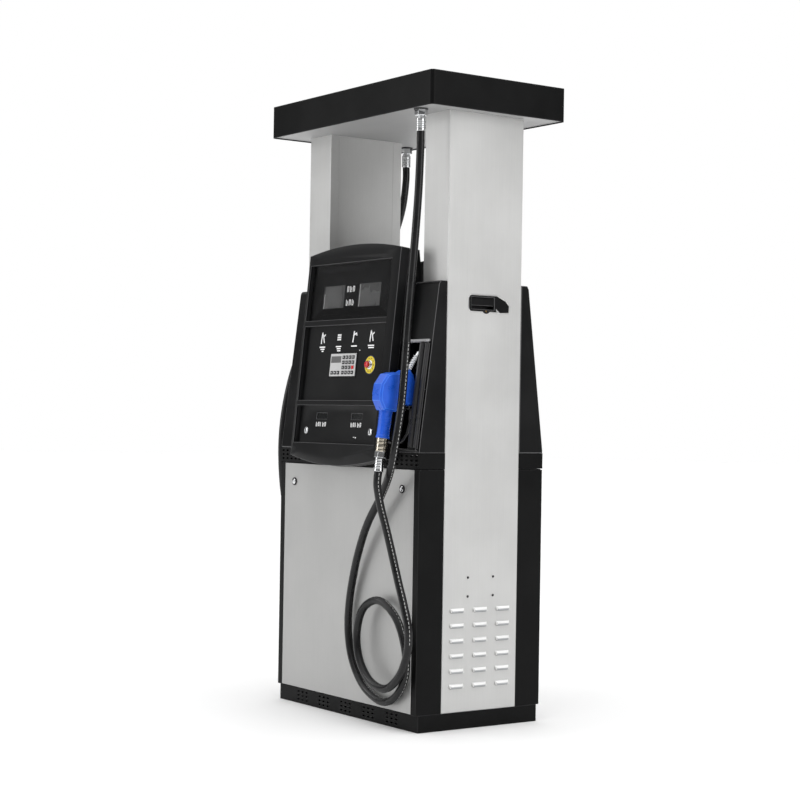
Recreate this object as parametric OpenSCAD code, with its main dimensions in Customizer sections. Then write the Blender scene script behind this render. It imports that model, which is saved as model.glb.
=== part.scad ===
// Two-sided fuel dispenser: a cabinet with pump, motor and meters, two columns
// that carry a canopy, a sloping display head on each side, and a hose and
// nozzle on each side. Millimetres, +Z up, front towards -Y, origin on the floor.
// The rear is the front turned half a turn about Z.

/* [Overall] */
// Height from the floor to the top of the canopy
total_h = 2200; // [2100:10:2640]
// Width of the canopy
canopy_w = 1008; // [980:4:1210]
// Depth of the canopy
canopy_d = 576; // [560:4:700]
// Height of the canopy fascia
canopy_h = 116; // [96:2:150]
// Width of the cabinet, measured over both columns
cabinet_w = 870; // [850:10:980]
// Depth of the cabinet, measured over both doors
cabinet_d = 530; // [520:10:560]
// Height of the top of the cabinet
cabinet_h = 878; // [860:2:900]
// Height of the plinth
plinth_h = 58; // [50:2:70]

/* [Sheet metal] */
// Thickness of cabinet sheet
sheet = 2; // [1.5:0.1:2.5]
// Thickness of the plinth's plates
plinth_sheet = 4; // [3:0.5:6]
// Gap between neighbouring covers
gap = 0.3; // [0.2:0.05:0.5]
// Width of one column
column_w = 139; // [130:1:150]
// Depth of one column
column_d = 318; // [300:2:330]
// Radius of the canopy's upright corners
canopy_r = 14; // [8:1:20]

/* [Anchors and supply] */
// Distance between anchor bolts along the width
anchor_x = 700; // [640:10:720]
// Distance between anchor bolts along the depth
anchor_y = 360; // [320:10:380]
// Diameter of an anchor hole
anchor_hole = 14; // [12:0.5:18]
// Bore of the suction socket
suction_bore = 48; // [40:1:56]
// Depth of the suction socket
suction_depth = 40; // [30:1:50]

/* [Head] */
// Width of a head door
head_w = 574; // [540:2:576]
// Length of a head door along its slope, at its sides
head_len = 726; // [700:2:740]
// Slope of the head doors from upright, in degrees
head_lean = 5.8; // [5:0.1:6.5]
// Rise of the arch at the top of a head door
arch_top = 26; // [16:1:30]
// Drop of the arch at the bottom of a head door
arch_bottom = 32; // [20:1:34]
// Depth of a head door behind its edge
door_back = 36; // [34:1:40]
// Height that the raised face stands over the edge
door_raise = 12; // [8:1:14]
// Width of the sloping border round the raised face
door_border = 30; // [20:1:34]

/* [Hose and nozzle] */
// Outer diameter of the hose
hose_d = 27; // [24:0.5:30]
// Diameter of the crimped ferrules
ferrule_d = 32; // [30:0.5:36]
// Tilt of the stored nozzle's grip from upright, in degrees
nozzle_tilt = 7.5; // [5:0.5:9]
// Outer diameter of the spout
spout_d = 23; // [20:0.5:25]
// Half thickness of the nozzle cover
cover_half = 27; // [25:0.5:30]

/* [Drive] */
// Radius of the motor's pulley
motor_pulley_r = 40; // [34:1:50]
// Radius of the pump's pulley
pump_pulley_r = 100; // [85:1:110]
// Radius of the pulley shafts
shaft_r = 12; // [10:0.5:14]

/* [Locks] */
// Radius of a lock's rim
lock_rim_r = 14.5; // [12:0.5:17]
// Radius of a lock's barrel
lock_r = 9.5; // [8:0.5:11]
// Radius of the running clearance round shafts and barrels
run = 0.05; // [0.02:0.01:0.09]

/* [Hidden] */
$fn = 48;
hw = cabinet_w / 2;
hd = cabinet_d / 2;
canopy_z = total_h - canopy_h;
column_in = hw - column_w;
column_hd = column_d / 2;
plinth_hd = hd - 11;
cover_t = 1.5;
tray_z = canopy_z + 4;
deck_t = 3;
deck_z = cabinet_h - deck_t;

// Frame posts and rails
post = 30;
post_x = column_in + 95;
post_y = hd - 45;
rail_h = 40;
rail_top = plinth_h + rail_h;

// Band of perforated sheet between cabinet and head
band_z0 = cabinet_h + 1;
band_h = 53;
band_y = hd + 1;
hood_z = band_z0 + band_h + gap;

// Head doors: front corners lie on a plane that leans back from (head_y0, head_z0)
head_y0 = hd + 55;
head_z0 = cabinet_h + 31;
floor_z = -6;
floor_t = 3;
case_hw = head_w / 2 - 7;
case_top = head_z0 + head_len * cos(head_lean) - 6.5;
hinge_y = head_len + 7;
hinge_z = 3 - door_back;
hinge_x = 120;

// Recesses in the head door: [half width, low, high], along the slope
recess_hw = head_w / 2 - door_border - 1;
recess_display = [484, 686];
recess_panel = [197, 464];
recess_price = [45, 179];
// Windows in the floor: [centre x, half width, low, high]
windows = [[-112, 66, 530, 609], [112, 66, 530, 609], [-111, 34, 132, 153], [111, 34, 132, 153]];
lock_x = 203;
lock_y = 90;
stop_x = 161;
stop_y = 322;
keypad_x = -7;
keypad_y = [284, 364];
keypad_hw = 80;

// Door locks
door_lock_x = hw - 95;
door_lock_z = cabinet_h - 69;

// Nozzle: the hose end of its ferrule, and the front's hose fitting
nozzle_x = column_in + 46;
nozzle_y = hd + 100;
nozzle_z = 872;
fitting_x = hw - 50;
fitting_y = canopy_d / 2 - 43;
fitting_hex = 21;
fitting_len = 66;

// Boot recess in front of a column
boot_x0 = column_in + 7;
boot_x1 = hw - 55;
boot_z0 = cabinet_h + 67;
boot_z1 = boot_z0 + 360;
boot_back = column_hd + 11;

// Latch in the end face
latch_z = 1442;
latch_pin_z = 17;

// Pump set
pump_x = -180;
motor_x = 180;
pump_shaft_z = rail_top + 162;
motor_shaft_z = rail_top + 100;
pulley_y = -150;
shaft_len = 70;
meter_x = 190;
meter_z = rail_top + 470;
pump_top = rail_top + 322;
manifold_z = pump_top + 60;
pipe_r = 15;
riser_z = canopy_z + 60;

// Route of the front hose, from the canopy fitting to the nozzle
front_route = [
    [385, -245, 2018], [385, -245, 1950], [387, -251, 1820], [390, -262, 1690], [393, -276, 1545],
    [397, -292, 1390], [401, -306, 1230], [403, -320, 1090], [403, -338, 980], [386, -342, 895],
    [330, -322, 833], [270, -310, 770], [200, -306, 690], [143, -298, 607], [95, -290, 512],
    [61, -285, 400], [57, -284, 295], [88, -284, 200], [160, -284, 122], [267, -284, 86],
    [352, -284, 117], [401, -284, 190], [400, -286, 280], [350, -289, 377], [262, -297, 428],
    [178, -304, 396], [147, -309, 312], [166, -311, 222], [232, -311, 155], [325, -311, 139],
    [404, -312, 190], [451, -314, 270], [460, -317, 350], [437, -321, 430], [409, -325, 506],
    [383, -332, 591], [363, -342, 670], [346, -357, 752], [342, -368, 812], [342, -369, 842], [342, -365, 872]
];
// Route of the rear hose, which swings round the left end before it reaches its nozzle
rear_route = [
    [-385, 245, 2018], [-385, 245, 1955], [-397, 238, 1850], [-423, 218, 1745], [-452, 178, 1650],
    [-469, 110, 1565], [-478, 34, 1490], [-482, -44, 1418], [-480, -118, 1343], [-474, -180, 1252],
    [-470, -220, 1130], [-469, -241, 1000], [-468, -243, 870], [-468, -226, 735], [-468, -184, 610],
    [-468, -140, 500], [-468, -118, 390], [-468, -112, 285], [-468, -72, 180], [-468, 14, 104],
    [-468, 120, 92], [-468, 202, 150], [-468, 226, 245], [-470, 190, 346], [-474, 108, 402],
    [-480, 24, 378], [-486, -20, 300], [-490, -4, 208], [-490, 66, 146], [-490, 158, 146],
    [-490, 228, 205], [-490, 262, 295], [-488, 276, 400], [-480, 284, 505], [-462, 294, 610],
    [-424, 314, 700], [-376, 346, 762], [-345, 366, 812], [-342, 369, 842], [-342, 365, 872]
];

// ---- helpers ----

// A block between two corners
module block(x, y, z)
    translate([x[0], y[0], z[0]]) cube([x[1] - x[0], y[1] - y[0], z[1] - z[0]]);

module turned() rotate([0, 0, 180]) children();

module both_sides() {
    children();
    turned() children();
}

// A rod along X, Y or Z from a point
module rod_x(p, r, len) translate(p) rotate([0, 90, 0]) cylinder(r = r, h = len);
module rod_y(p, r, len) translate(p) rotate([-90, 0, 0]) cylinder(r = r, h = len);
module rod_z(p, r, len) translate(p) cylinder(r = r, h = len);

// A profile drawn in Y and Z, given thickness along X
module slab_x(x, points)
    translate([x[0], 0, 0]) rotate([90, 0, 90]) linear_extrude(x[1] - x[0]) polygon(points);

module round_rect(w, d, r) {
    square([w - 2 * r, d], center = true);
    square([w, d - 2 * r], center = true);
    for (x = [-1, 1], y = [-1, 1])
        translate([x * (w / 2 - r), y * (d / 2 - r)]) circle(r = r);
}

// ---- base and frame ----

module plinth() color("#1b1c1e") difference() {
    block([-hw, hw], [-plinth_hd, plinth_hd], [0, plinth_h]);
    block([-hw + plinth_sheet, hw - plinth_sheet], [-plinth_hd + plinth_sheet, plinth_hd - plinth_sheet],
        [plinth_sheet, plinth_h - plinth_sheet]);
    block([-hw + 60, hw - 60], [-plinth_hd + 60, plinth_hd - 60], [plinth_sheet, plinth_h + 1]);
    block([pump_x - 75, 75 - pump_x], [-120, 120], [-1, plinth_sheet + 1]);
    for (x = [-1, 1], y = [-1, 1])
        rod_z([x * anchor_x / 2, y * anchor_y / 2, -1], anchor_hole / 2, plinth_sheet + 2);
    for (group = [-2:2], i = [-1:1], j = [-1:1])
        translate([group * 141 + i * 27, 0, plinth_h / 2 + j * 14.5])
            cube([14, 2 * hd, 6], center = true);
}

module inner_frame() color("#8b8f94") difference() {
    union() {
        for (x = [-1, 1], y = [-1, 1])
            translate([x * post_x, y * post_y, (plinth_h + deck_z) / 2])
                cube([post, post, deck_z - plinth_h], center = true);
        for (y = [-1, 1])
            translate([0, y * post_y, deck_z - post / 2])
                cube([2 * post_x, post, post], center = true);
        for (x = [pump_x - 70, pump_x + 70, motor_x - 70, motor_x + 70])
            block([x - 15, x + 15], [-post_y - 15, post_y + 15], [plinth_h, rail_top]);
        for (x = [-1, 1])
            translate([x * meter_x, 0, meter_z - 5])
                cube([60, 2 * post_y + post, 10], center = true);
        for (x = [-1, 1], y = [-1, 1])
            translate([x * meter_x, y * post_y, (meter_z - 10 + deck_z) / 2])
                cube([post, post, deck_z - meter_z + 10], center = true);
        block([-hw + 4, hw - 4], [-hd + 4, hd - 4], [deck_z, cabinet_h]);
    }
    for (x = [-1, 1])
        translate([x * (hw - column_w / 2), 0, cabinet_h])
            cube([column_w + 2 * gap, column_d + 2 * gap, 20], center = true);
    for (x = [-1, 1]) {
        translate([x * meter_x, 0, meter_z - 20]) cylinder(r = pipe_r + gap, h = 30);
        translate([x * 60, 0, deck_z - 5]) cylinder(r = 30, h = 20);
    }
}

// ---- columns, end covers and latches ----

module louvre_field() {
    for (y = [-98, 0, 98], i = [0:5]) translate([0, y, 146 + i * 51]) children();
}

module column_right() color("#c9cbcc") difference() {
    block([column_in, hw - cover_t], [-column_hd, column_hd], [plinth_h, tray_z]);
    block([column_in + sheet, hw - cover_t - sheet], [-column_hd + sheet, column_hd - sheet],
        [plinth_h - 1, tray_z + 1]);
    block([hw - 20, hw], [-70, 108], [latch_z - 34, latch_z + 28]);
    block([hw - 20, hw], [-135, 135], [130, 425]);
    rod_x([column_in - 5, 0, meter_z + 70], pipe_r + 1, 20);
    block([column_in - 5, column_in + 5], [-40, 40], [1200, 1300]);
}

module column_left() turned() column_right();

module louvre_hood() difference() {
    translate([0, -30, 0]) rotate([90, 0, 0]) mirror([0, 0, 1]) linear_extrude(60)
        polygon([[0, 7], [7, -6], [0, -6]]);
    translate([0, -28.5, 0]) rotate([90, 0, 0]) mirror([0, 0, 1]) linear_extrude(57)
        polygon([[-1, 6], [-1, -7], [6, -7], [0, 4.5]]);
}

module end_cover_right() {
    difference() {
        block([hw - cover_t, hw], [-column_hd + 1, column_hd - 1], [plinth_h + 2, canopy_z - 2]);
        translate([hw - 5, 0, 0]) latch_outline(10, gap);
        translate([hw, 0, 0]) louvre_field() block([-5, 5], [-28.5, 28.5], [-6, 4.5]);
    }
    translate([hw, 0, 0]) louvre_field() louvre_hood();
    for (y = [-54, 54], z = [447, 511])
        translate([hw, y, z]) rotate([0, 90, 0]) cylinder(r = 4, h = 1.2);
}

module end_covers() color("#c9cbcc") both_sides() end_cover_right();

// Outline of the recessed latch, extruded outwards along X
module latch_outline(depth, grow)
    translate([0, 0, latch_z]) rotate([90, 0, 90]) linear_extrude(depth) {
        translate([-56, -25 - grow]) square([102 + grow, 50 + 2 * grow]);
        translate([-64 - grow, -17]) square([20, 34]);
        for (z = [-17, 17]) translate([-56, z]) circle(r = 8 + grow);
        polygon([[40, 25 + grow], [51, 25 + grow], [90, 8 + grow], [102 + grow, -5],
            [101 + grow, -25 - grow], [66, -27 - grow], [40, -6 - grow]]);
        translate([6, -14]) circle(r = 18 + grow);
    }

module latch_dish() difference() {
    union() {
        translate([hw, 0, 0]) latch_outline(1.5, 2);
        translate([hw - 28, 0, 0]) latch_outline(28, 0);
    }
    block([hw - 25, hw + 5], [-58, 40], [latch_z - 20, latch_z + 21]);
    rod_y([hw - 6, -62, latch_z + latch_pin_z], 2.5 + run, 106);
    rod_x([hw - 2, 6, latch_z - 26], 3.5, 6);
}

module latch_dishes() color("#17181a") both_sides() latch_dish();

module latch_lever_right() color("#1d1e20") {
    block([hw - 9, hw - 2.5], [-57.5, 39.5], [latch_z - 7, latch_z + latch_pin_z]);
    rod_y([hw - 6, -60.5, latch_z + latch_pin_z], 2.5, 103);
}

module latch_lever_left() turned() latch_lever_right();

// ---- canopy ----

module canopy_cap() color("#1a1a1b") translate([0, 0, canopy_z]) difference() {
    linear_extrude(canopy_h) round_rect(canopy_w, canopy_d, canopy_r);
    translate([0, 0, -1]) linear_extrude(canopy_h - 2)
        round_rect(canopy_w - 2 * sheet, canopy_d - 2 * sheet, canopy_r - sheet);
}

module canopy_tray() color("#d2d3d3") difference() {
    translate([0, 0, tray_z]) linear_extrude(36)
        round_rect(canopy_w - 2 * sheet - 2 * gap, canopy_d - 2 * sheet - 2 * gap, canopy_r - sheet);
    translate([0, 0, tray_z + sheet]) linear_extrude(40)
        round_rect(canopy_w - 4 * sheet - 2 * gap, canopy_d - 4 * sheet - 2 * gap, canopy_r - 2 * sheet);
    both_sides() {
        rod_z([fitting_x, -fitting_y, tray_z - 1], 14, 10);
        block([column_in + 20, hw - 20], [-60, 60], [tray_z - 1, tray_z + 10]);
    }
}

// ---- cabinet covers ----

module corner_post() difference() {
    block([post_x + 15 + gap, hw], [-hd, -column_hd - gap], [plinth_h + gap, deck_z - gap]);
    block([post_x, hw - sheet], [-hd + sheet, 0], [0, cabinet_h]);
}

module corner_posts() color("#1b1c1e") both_sides() {
    corner_post();
    mirror([1, 0, 0]) corner_post();
}

module door_pan() difference() {
    block([-post_x - 15, post_x + 15], [-hd, -post_y - 15 - gap], [plinth_h + 3, deck_z - gap]);
    block([-post_x - 15 + sheet, post_x + 15 - sheet], [-hd + sheet, 0],
        [plinth_h + 3 + sheet, deck_z - gap - sheet]);
    for (x = [-1, 1])
        rod_y([x * door_lock_x, -hd - 5, door_lock_z], lock_r + run, 20);
}

module front_door() color("#c4c6c7") door_pan();
module rear_door() color("#c4c6c7") turned() door_pan();

// A quarter-turn lock on the Y axis, its rim at y = 0 and its cam inside
module cam_lock(rim, rise, depth) difference() {
    union() {
        rod_y([0, -rise - gap / 3, 0], rim, rise);
        rod_y([0, -rise, 0], lock_r, rise + depth);
        block([-7, 7], [depth, depth + 2], [-9, 26]);
    }
    block([-0.8, 0.8], [-rise - 1, -rise + 4], [-4, 4]);
}

module door_lock(side) color("#2a2b2d")
    translate([side * door_lock_x, -hd, door_lock_z]) cam_lock(lock_rim_r, 3, 16);

module door_lock_fl() door_lock(-1);
module door_lock_fr() door_lock(1);
module door_lock_rl() turned() door_lock(-1);
module door_lock_rr() turned() door_lock(1);

// Perforated band on which the head and the hoods stand
module vent_band() color("#18191a") difference() {
    block([-hw, hw], [-band_y, band_y], [band_z0, band_z0 + band_h]);
    block([-hw + sheet, hw - sheet], [-band_y + sheet, band_y - sheet], [band_z0 - 1, band_z0 + band_h + 1]);
    for (x = [-1, 1])
        translate([x * (hw - column_w / 2), 0, cabinet_h])
            cube([column_w + 2 * gap, column_d + 2 * gap, 200], center = true);
    for (i = [-15:15], j = [-1:1])
        translate([i * 28, 0, band_z0 + band_h / 2 + 1 + j * 14.5]) cube([13, 3 * hd, 6], center = true);
}

// ---- hoods beside the head, one of them the nozzle boot ----

// Side profile of a hood in Y and Z, moved outwards by push
function hood_profile(push, low, high) = [
    [-column_hd - gap, low], [-band_y - push, low], [-band_y - push, cabinet_h + 64],
    [-band_y + 27 - push, cabinet_h + 282], [-band_y + 52 - push, cabinet_h + 466],
    [-band_y + 72 - push, high - 12], [-band_y + 80 - push, high], [-column_hd - gap, high]
];
hood_top = cabinet_h + 634;

module hood_shell() difference() {
    slab_x([column_in, hw], hood_profile(0, hood_z, hood_top));
    slab_x([column_in + 3, hw - 3], hood_profile(-3, hood_z - 1, hood_top - 3));
}

module shoulder() difference() {
    hood_shell();
    block([column_in + 3, hw - 3], [-column_hd - 30, 0], [hood_z - 1, hood_top - 3]);
}

module side_shoulders() color("#19191a") both_sides() mirror([1, 0, 0]) shoulder();

module nozzle_boot() {
    difference() {
        union() {
            shoulder();
            intersection() {
                block([boot_x0 - 3, hw - 12], [-hd - 30, -boot_back + 3], [boot_z0 - 5, boot_z1 + 5]);
                slab_x([column_in, hw], hood_profile(8, hood_z, hood_top));
            }
        }
        block([boot_x0, boot_x1], [-hd - 40, -boot_back], [boot_z0, boot_z1]);
        block([boot_x1 + 4, hw - 4], [-band_y + 13 - 8, -boot_back - 12], [boot_z0, boot_z1 - 160]);
    }
    for (x = [-26, 13])
        block([nozzle_x + x, nozzle_x + x + 13], [-hd + 3, -boot_back + 1], [boot_z0 + 133, boot_z0 + 143.5]);
}

module nozzle_boot_front() color("#19191a") nozzle_boot();
module nozzle_boot_rear() color("#19191a") turned() nozzle_boot();

// Switch lever that the stored nozzle holds up
module boot_lever() {
    rod_x([boot_x0 + gap, -boot_back - 14, boot_z0 + 40], 3, boot_x1 - boot_x0 - 2 * gap);
    block([nozzle_x - 9, nozzle_x + 9], [-boot_back - 44, -boot_back - 14], [boot_z0 + 38.5, boot_z0 + 41.5]);
    block([nozzle_x - 9, nozzle_x + 9], [-boot_back - 47, -boot_back - 44], [boot_z0 + 38.5, boot_z0 + 54]);
}

module boot_lever_front() color("#b9bcc0") boot_lever();
module boot_lever_rear() color("#b9bcc0") turned() boot_lever();

// ---- head ----

module on_head() translate([0, -head_y0, head_z0]) rotate([90 - head_lean, 0, 0]) children();

// Y of the head door's back, at height z
function case_y(z) = -head_y0 + (z - head_z0) * tan(head_lean) + (door_back + gap) / cos(head_lean);

function arch(half, end, rise, steps) =
    let (r = (half * half + rise * rise) / (2 * abs(rise)), s = sign(rise))
    [for (i = [0:steps]) let (x = half * (1 - 2 * i / steps))
        [s * x, end + s * (sqrt(r * r - x * x) - r + abs(rise))]];

// Outline of a head door, drawn inwards by inset
module door_outline(inset) polygon(concat(
    arch(head_w / 2 - inset, head_len - inset, arch_top, 16),
    arch(head_w / 2 - inset, inset, -arch_bottom, 16)));

module panel(span, half, z) translate([-half, span[0], z[0]]) cube([2 * half, span[1] - span[0], z[1] - z[0]]);

module head_door() on_head() {
    difference() {
        union() {
            translate([0, 0, -door_back]) linear_extrude(door_back) door_outline(0);
            hull() {
                linear_extrude(0.01) door_outline(0);
                translate([0, 0, door_raise - 0.01]) linear_extrude(0.01) door_outline(door_border);
            }
        }
        translate([0, 0, -door_back - 1]) linear_extrude(door_back + 1 + floor_z - floor_t) door_outline(3);
        for (span = [recess_display, recess_panel, recess_price])
            panel(span, recess_hw, [floor_z, door_raise + 1]);
        for (w = windows)
            translate([w[0] - w[1], w[2], floor_z - 5]) cube([2 * w[1], w[3] - w[2], 10]);
        for (x = [-1, 1])
            translate([x * lock_x, lock_y, floor_z - 5]) cylinder(r = lock_r + run, h = 10);
        translate([stop_x, stop_y, floor_z - 5]) cylinder(r = 15, h = 10);
    }
    for (x = [-1, 1]) translate([x * hinge_x, 0, 0]) difference() {
        union() {
            rod_x([-6, hinge_y, hinge_z], 5.5, 12);
            translate([-6, hinge_y - 3, hinge_z + 4]) cube([12, 6, floor_z - floor_t - hinge_z - 3.9]);
        }
        rod_x([-7, hinge_y, hinge_z], 2.5 + run, 14);
    }
}

module head_door_front() color("#1d1e20") head_door();
module head_door_rear() color("#1d1e20") turned() head_door();

// Two ears and a pin for one door hinge
module hinge_ears() {
    for (x = [-11.5, 6.5]) difference() {
        on_head() translate([x, hinge_y - 14, hinge_z - 4.5]) cube([5, 19, 9]);
        block([x - 1, x + 6], [-hd, 0], [0, case_top - 2]);
    }
    on_head() rod_x([-11.5, hinge_y, hinge_z], 2.5, 23);
}

// Half of the case's profile in Y and Z
case_top_y = case_y(case_top);
function case_half(inset) = [
    [-column_hd - 1 + inset, hood_z + inset], [case_y(hood_z) + (inset > 0 ? -9 : 0), hood_z + inset],
    [case_top_y + (inset > 0 ? -9 : 0), case_top - inset], [-column_hd - 6 + inset, case_top - inset],
    [-column_hd - 1 + inset, case_top - 40]
];

module head_cabinet() color("#18191a") {
    difference() {
        union() {
            for (a = [0, 180]) rotate([0, 0, a]) slab_x([-case_hw, case_hw], case_half(0));
            block([-column_in + gap, column_in - gap], [-column_hd - 1, column_hd + 1], [hood_z, case_top - 40]);
        }
        for (a = [0, 180]) rotate([0, 0, a])
            slab_x([-case_hw + 3, case_hw - 3], case_half(3));
        block([-column_in + 3, column_in - 3], [-column_hd + 3, column_hd - 3], [hood_z - 1, case_top - 43]);
        block([-case_hw + 14, case_hw - 14], [-column_hd - 20, column_hd + 20], [hood_z + 3, case_top - 55]);
        for (x = [-1, 1])
            translate([x * column_in, 0, 1250]) cube([20, 80, 100], center = true);
    }
    block([-column_in + 2, column_in - 2], [-60, 60], [1150, 1153]);
    both_sides() for (x = [-1, 1]) translate([x * hinge_x, 0, 0]) hinge_ears();
}

module display_lens() on_head() panel([recess_display[0] + 1, recess_display[1] - 1], recess_hw - 1,
    [floor_z, floor_z + 3]);
module display_lens_front() color("#101113", 0.6) display_lens();
module display_lens_rear() color("#101113", 0.6) turned() display_lens();

module displays() on_head() for (w = windows)
    translate([w[0] - w[1] - 4, w[2] - 4, floor_z - floor_t - 14]) cube([2 * w[1] + 8, w[3] - w[2] + 8, 14]);
module displays_front() color("#8f9a86") displays();
module displays_rear() color("#8f9a86") turned() displays();

module keypad() on_head() translate([keypad_x, 0, 0]) {
    panel(keypad_y, keypad_hw, [floor_z, floor_z + 3]);
    for (i = [0:3], j = [0:3])
        translate([-4 + i * 20, keypad_y[0] + 6 + j * 18, floor_z + 3]) cube([16, 13, 1.5]);
    for (i = [0:2])
        translate([-72 + i * 20, keypad_y[0] + 6, floor_z + 3]) cube([16, 13, 1.5]);
}
module keypad_front() color("#b4b7ba") keypad();
module keypad_rear() color("#b4b7ba") turned() keypad();

module stop_base() on_head() translate([stop_x, stop_y, 0]) difference() {
    union() {
        translate([0, 0, floor_z]) cylinder(r = 33, h = 1.5);
        translate([0, 0, floor_z + 1.4]) cylinder(r = 15.5, h = 4.6);
        translate([0, 0, floor_z - 4]) cylinder(r = 14.8, h = 5);
        translate([-20, -20, floor_z - 26]) cube([40, 40, 22.8]);
    }
    translate([0, 0, floor_z - 20]) cylinder(r = 9 + run, h = 40);
}
module stop_base_front() color("#e3cf1f") stop_base();
module stop_base_rear() color("#e3cf1f") turned() stop_base();

module stop_button() on_head() translate([stop_x, stop_y, 0]) {
    translate([0, 0, floor_z - 12]) cylinder(r = 9, h = 24);
    translate([0, 0, floor_z + 11.3]) cylinder(r = 12, h = 8);
}
module stop_button_front() color("#c3171c") stop_button();
module stop_button_rear() color("#c3171c") turned() stop_button();

module head_lock(side) on_head() translate([side * lock_x, lock_y, floor_z])
    rotate([-90, 0, 0]) cam_lock(lock_rim_r - 1.5, 3, 14);
module head_lock_fl() color("#b9bcc0") head_lock(-1);
module head_lock_fr() color("#b9bcc0") head_lock(1);
module head_lock_rl() color("#b9bcc0") turned() head_lock(-1);
module head_lock_rr() color("#b9bcc0") turned() head_lock(1);

// ---- pump set inside the cabinet ----

module motor() color("#5c6f7d") difference() {
    union() {
        rod_y([motor_x, -110, motor_shaft_z], 80, 230);
        block([motor_x - 85, motor_x + 85], [-90, 100], [rail_top, rail_top + 24]);
        block([motor_x - 45, motor_x + 45], [-40, 50], [motor_shaft_z + 60, motor_shaft_z + 105]);
    }
    rod_y([motor_x, -111, motor_shaft_z], shaft_r + run, 40);
}

module pulley(r, x, z) difference() {
    union() {
        rod_y([x, pulley_y - 11, z], r + 5, 4.5);
        rod_y([x, pulley_y - 8, z], r, 16);
        rod_y([x, pulley_y + 6.5, z], r + 5, 4.5);
        rod_y([x, pulley_y - 14, z], shaft_r, shaft_len);
    }
    for (a = [0:60:300])
        translate([x, 0, z]) rotate([0, a, 0]) rod_y([(r + shaft_r) / 2, pulley_y - 20, 0], r / 6, 40);
}

module motor_pulley() color("#9a9da1") pulley(motor_pulley_r, motor_x, motor_shaft_z);
module pump_pulley() color("#9a9da1") pulley(pump_pulley_r, pump_x, pump_shaft_z);

module belt_loop(grow) hull() {
    translate([motor_x, -motor_shaft_z]) circle(r = motor_pulley_r + grow, $fn = 72);
    translate([pump_x, -pump_shaft_z]) circle(r = pump_pulley_r + grow, $fn = 72);
}

module drive_belt() color("#161616") translate([0, pulley_y - 6, 0]) rotate([-90, 0, 0])
    linear_extrude(12) difference() {
        belt_loop(7);
        belt_loop(0.5);
    }

module pump_unit() color("#7d8288") difference() {
    union() {
        block([pump_x - 85, pump_x + 85], [-110, 110], [rail_top, rail_top + 200]);
        block([pump_x - 65, pump_x + 65], [-90, 90], [rail_top + 200, pump_top - 20]);
        rod_z([pump_x, 0, pump_top - 20], 32, 20);
        rod_z([pump_x, 0, rail_top - suction_depth + 12], suction_bore / 2 + 10, suction_depth);
        rod_y([pump_x, -120, pump_shaft_z], 26, 20);
    }
    rod_z([pump_x, 0, rail_top - suction_depth + 11], suction_bore / 2, suction_depth + 1);
    rod_y([pump_x, -121, pump_shaft_z], shaft_r + run, 45);
}

module flow_meter(x) {
    rod_z([x, 0, meter_z], 72, 140);
    for (a = [0:90:270])
        translate([x, 0, meter_z + 70]) rotate([0, 0, a + 45]) rod_x([50, 0, 0], 30, 45);
    block([x - 35, x + 35], [-35, 35], [meter_z + 140, meter_z + 200]);
}
module flow_meters() color("#8d9196") for (x = [-1, 1]) flow_meter(x * meter_x);

module elbow(p) translate(p) sphere(r = pipe_r);

module pipework() color("#a7aaad") {
    rod_z([pump_x, 0, pump_top], pipe_r, manifold_z - pump_top);
    rod_x([-meter_x, 0, manifold_z], pipe_r, 2 * meter_x);
    both_sides() {
        elbow([meter_x, 0, manifold_z]);
        rod_z([meter_x, 0, manifold_z], pipe_r, meter_z - manifold_z);
        rod_x([meter_x + 72, 0, meter_z + 70], pipe_r, fitting_x - meter_x - 72);
        elbow([fitting_x, 0, meter_z + 70]);
        rod_z([fitting_x, 0, meter_z + 70], pipe_r, riser_z - meter_z - 70);
        elbow([fitting_x, 0, riser_z]);
        rod_y([fitting_x, -fitting_y, riser_z], pipe_r, fitting_y);
        elbow([fitting_x, -fitting_y, riser_z]);
        rod_z([fitting_x, -fitting_y, tray_z + 20], pipe_r, riser_z - tray_z - 20);
        // fitting under the canopy: spigot, hexagon, neck and ferrule
        rod_z([fitting_x, -fitting_y, tray_z - 4], 12.5, 30);
        translate([fitting_x, -fitting_y, canopy_z - 18]) cylinder(r = fitting_hex, h = 22, $fn = 6);
        rod_z([fitting_x, -fitting_y, canopy_z - 30], 13, 14);
        rod_z([fitting_x, -fitting_y, canopy_z - fitting_len + gap], ferrule_d / 2, fitting_len - 28);
    }
}

module electronics() color("#2f6b4a") {
    block([-180, 180], [-50, 50], [1153, 1330]);
    block([-150, 150], [-30, 30], [1330, 1400]);
}

// ---- nozzle ----

module on_nozzle() translate([nozzle_x, -nozzle_y, nozzle_z]) rotate([-nozzle_tilt, 0, 0]) children();

// Side outline of the nozzle's head in local Y and Z
nozzle_outline = [
    [-24, 200], [-43, 232], [-47, 256], [-45, 292], [-24, 322], [-3, 331], [30, 334], [46, 346],
    [62, 350], [80, 334], [99, 284], [98, 232], [46, 229], [31, 212], [24, 200]
];
grip_r = 21;
grip_bore = 14;
spout_base = [0, 62, 320];
spout_lean = 25.8;
lever_pin = [68, 217];

module nozzle_head(inset, half) rotate([90, 0, 90]) translate([0, 0, -half]) linear_extrude(2 * half)
    offset(delta = -inset) polygon(nozzle_outline);

module along_spout() translate(spout_base) rotate([-spout_lean, 0, 0]) children();

module nozzle_cover() on_nozzle() difference() {
    union() {
        nozzle_head(0, cover_half);
        translate([0, 0, 108]) cylinder(r = grip_r, h = 110);
    }
    nozzle_head(4, cover_half - 4);
    translate([0, 0, 100]) cylinder(r = grip_bore + 0.3, h = 120);
    along_spout() cylinder(r = spout_d / 2 + 1.5, h = 60);
    translate([-10, 58, 222]) cube([20, 20, 20]);
}

// Guard band: a thin strap through these points in local Y and Z
guard_line = [[16, 98], [52, 92], [82, 104], [101, 136], [106, 178], [101, 227]];
guard_inner = [[97, 227], [102, 178], [97, 138], [79, 108], [51, 96], [16, 102]];

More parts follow.
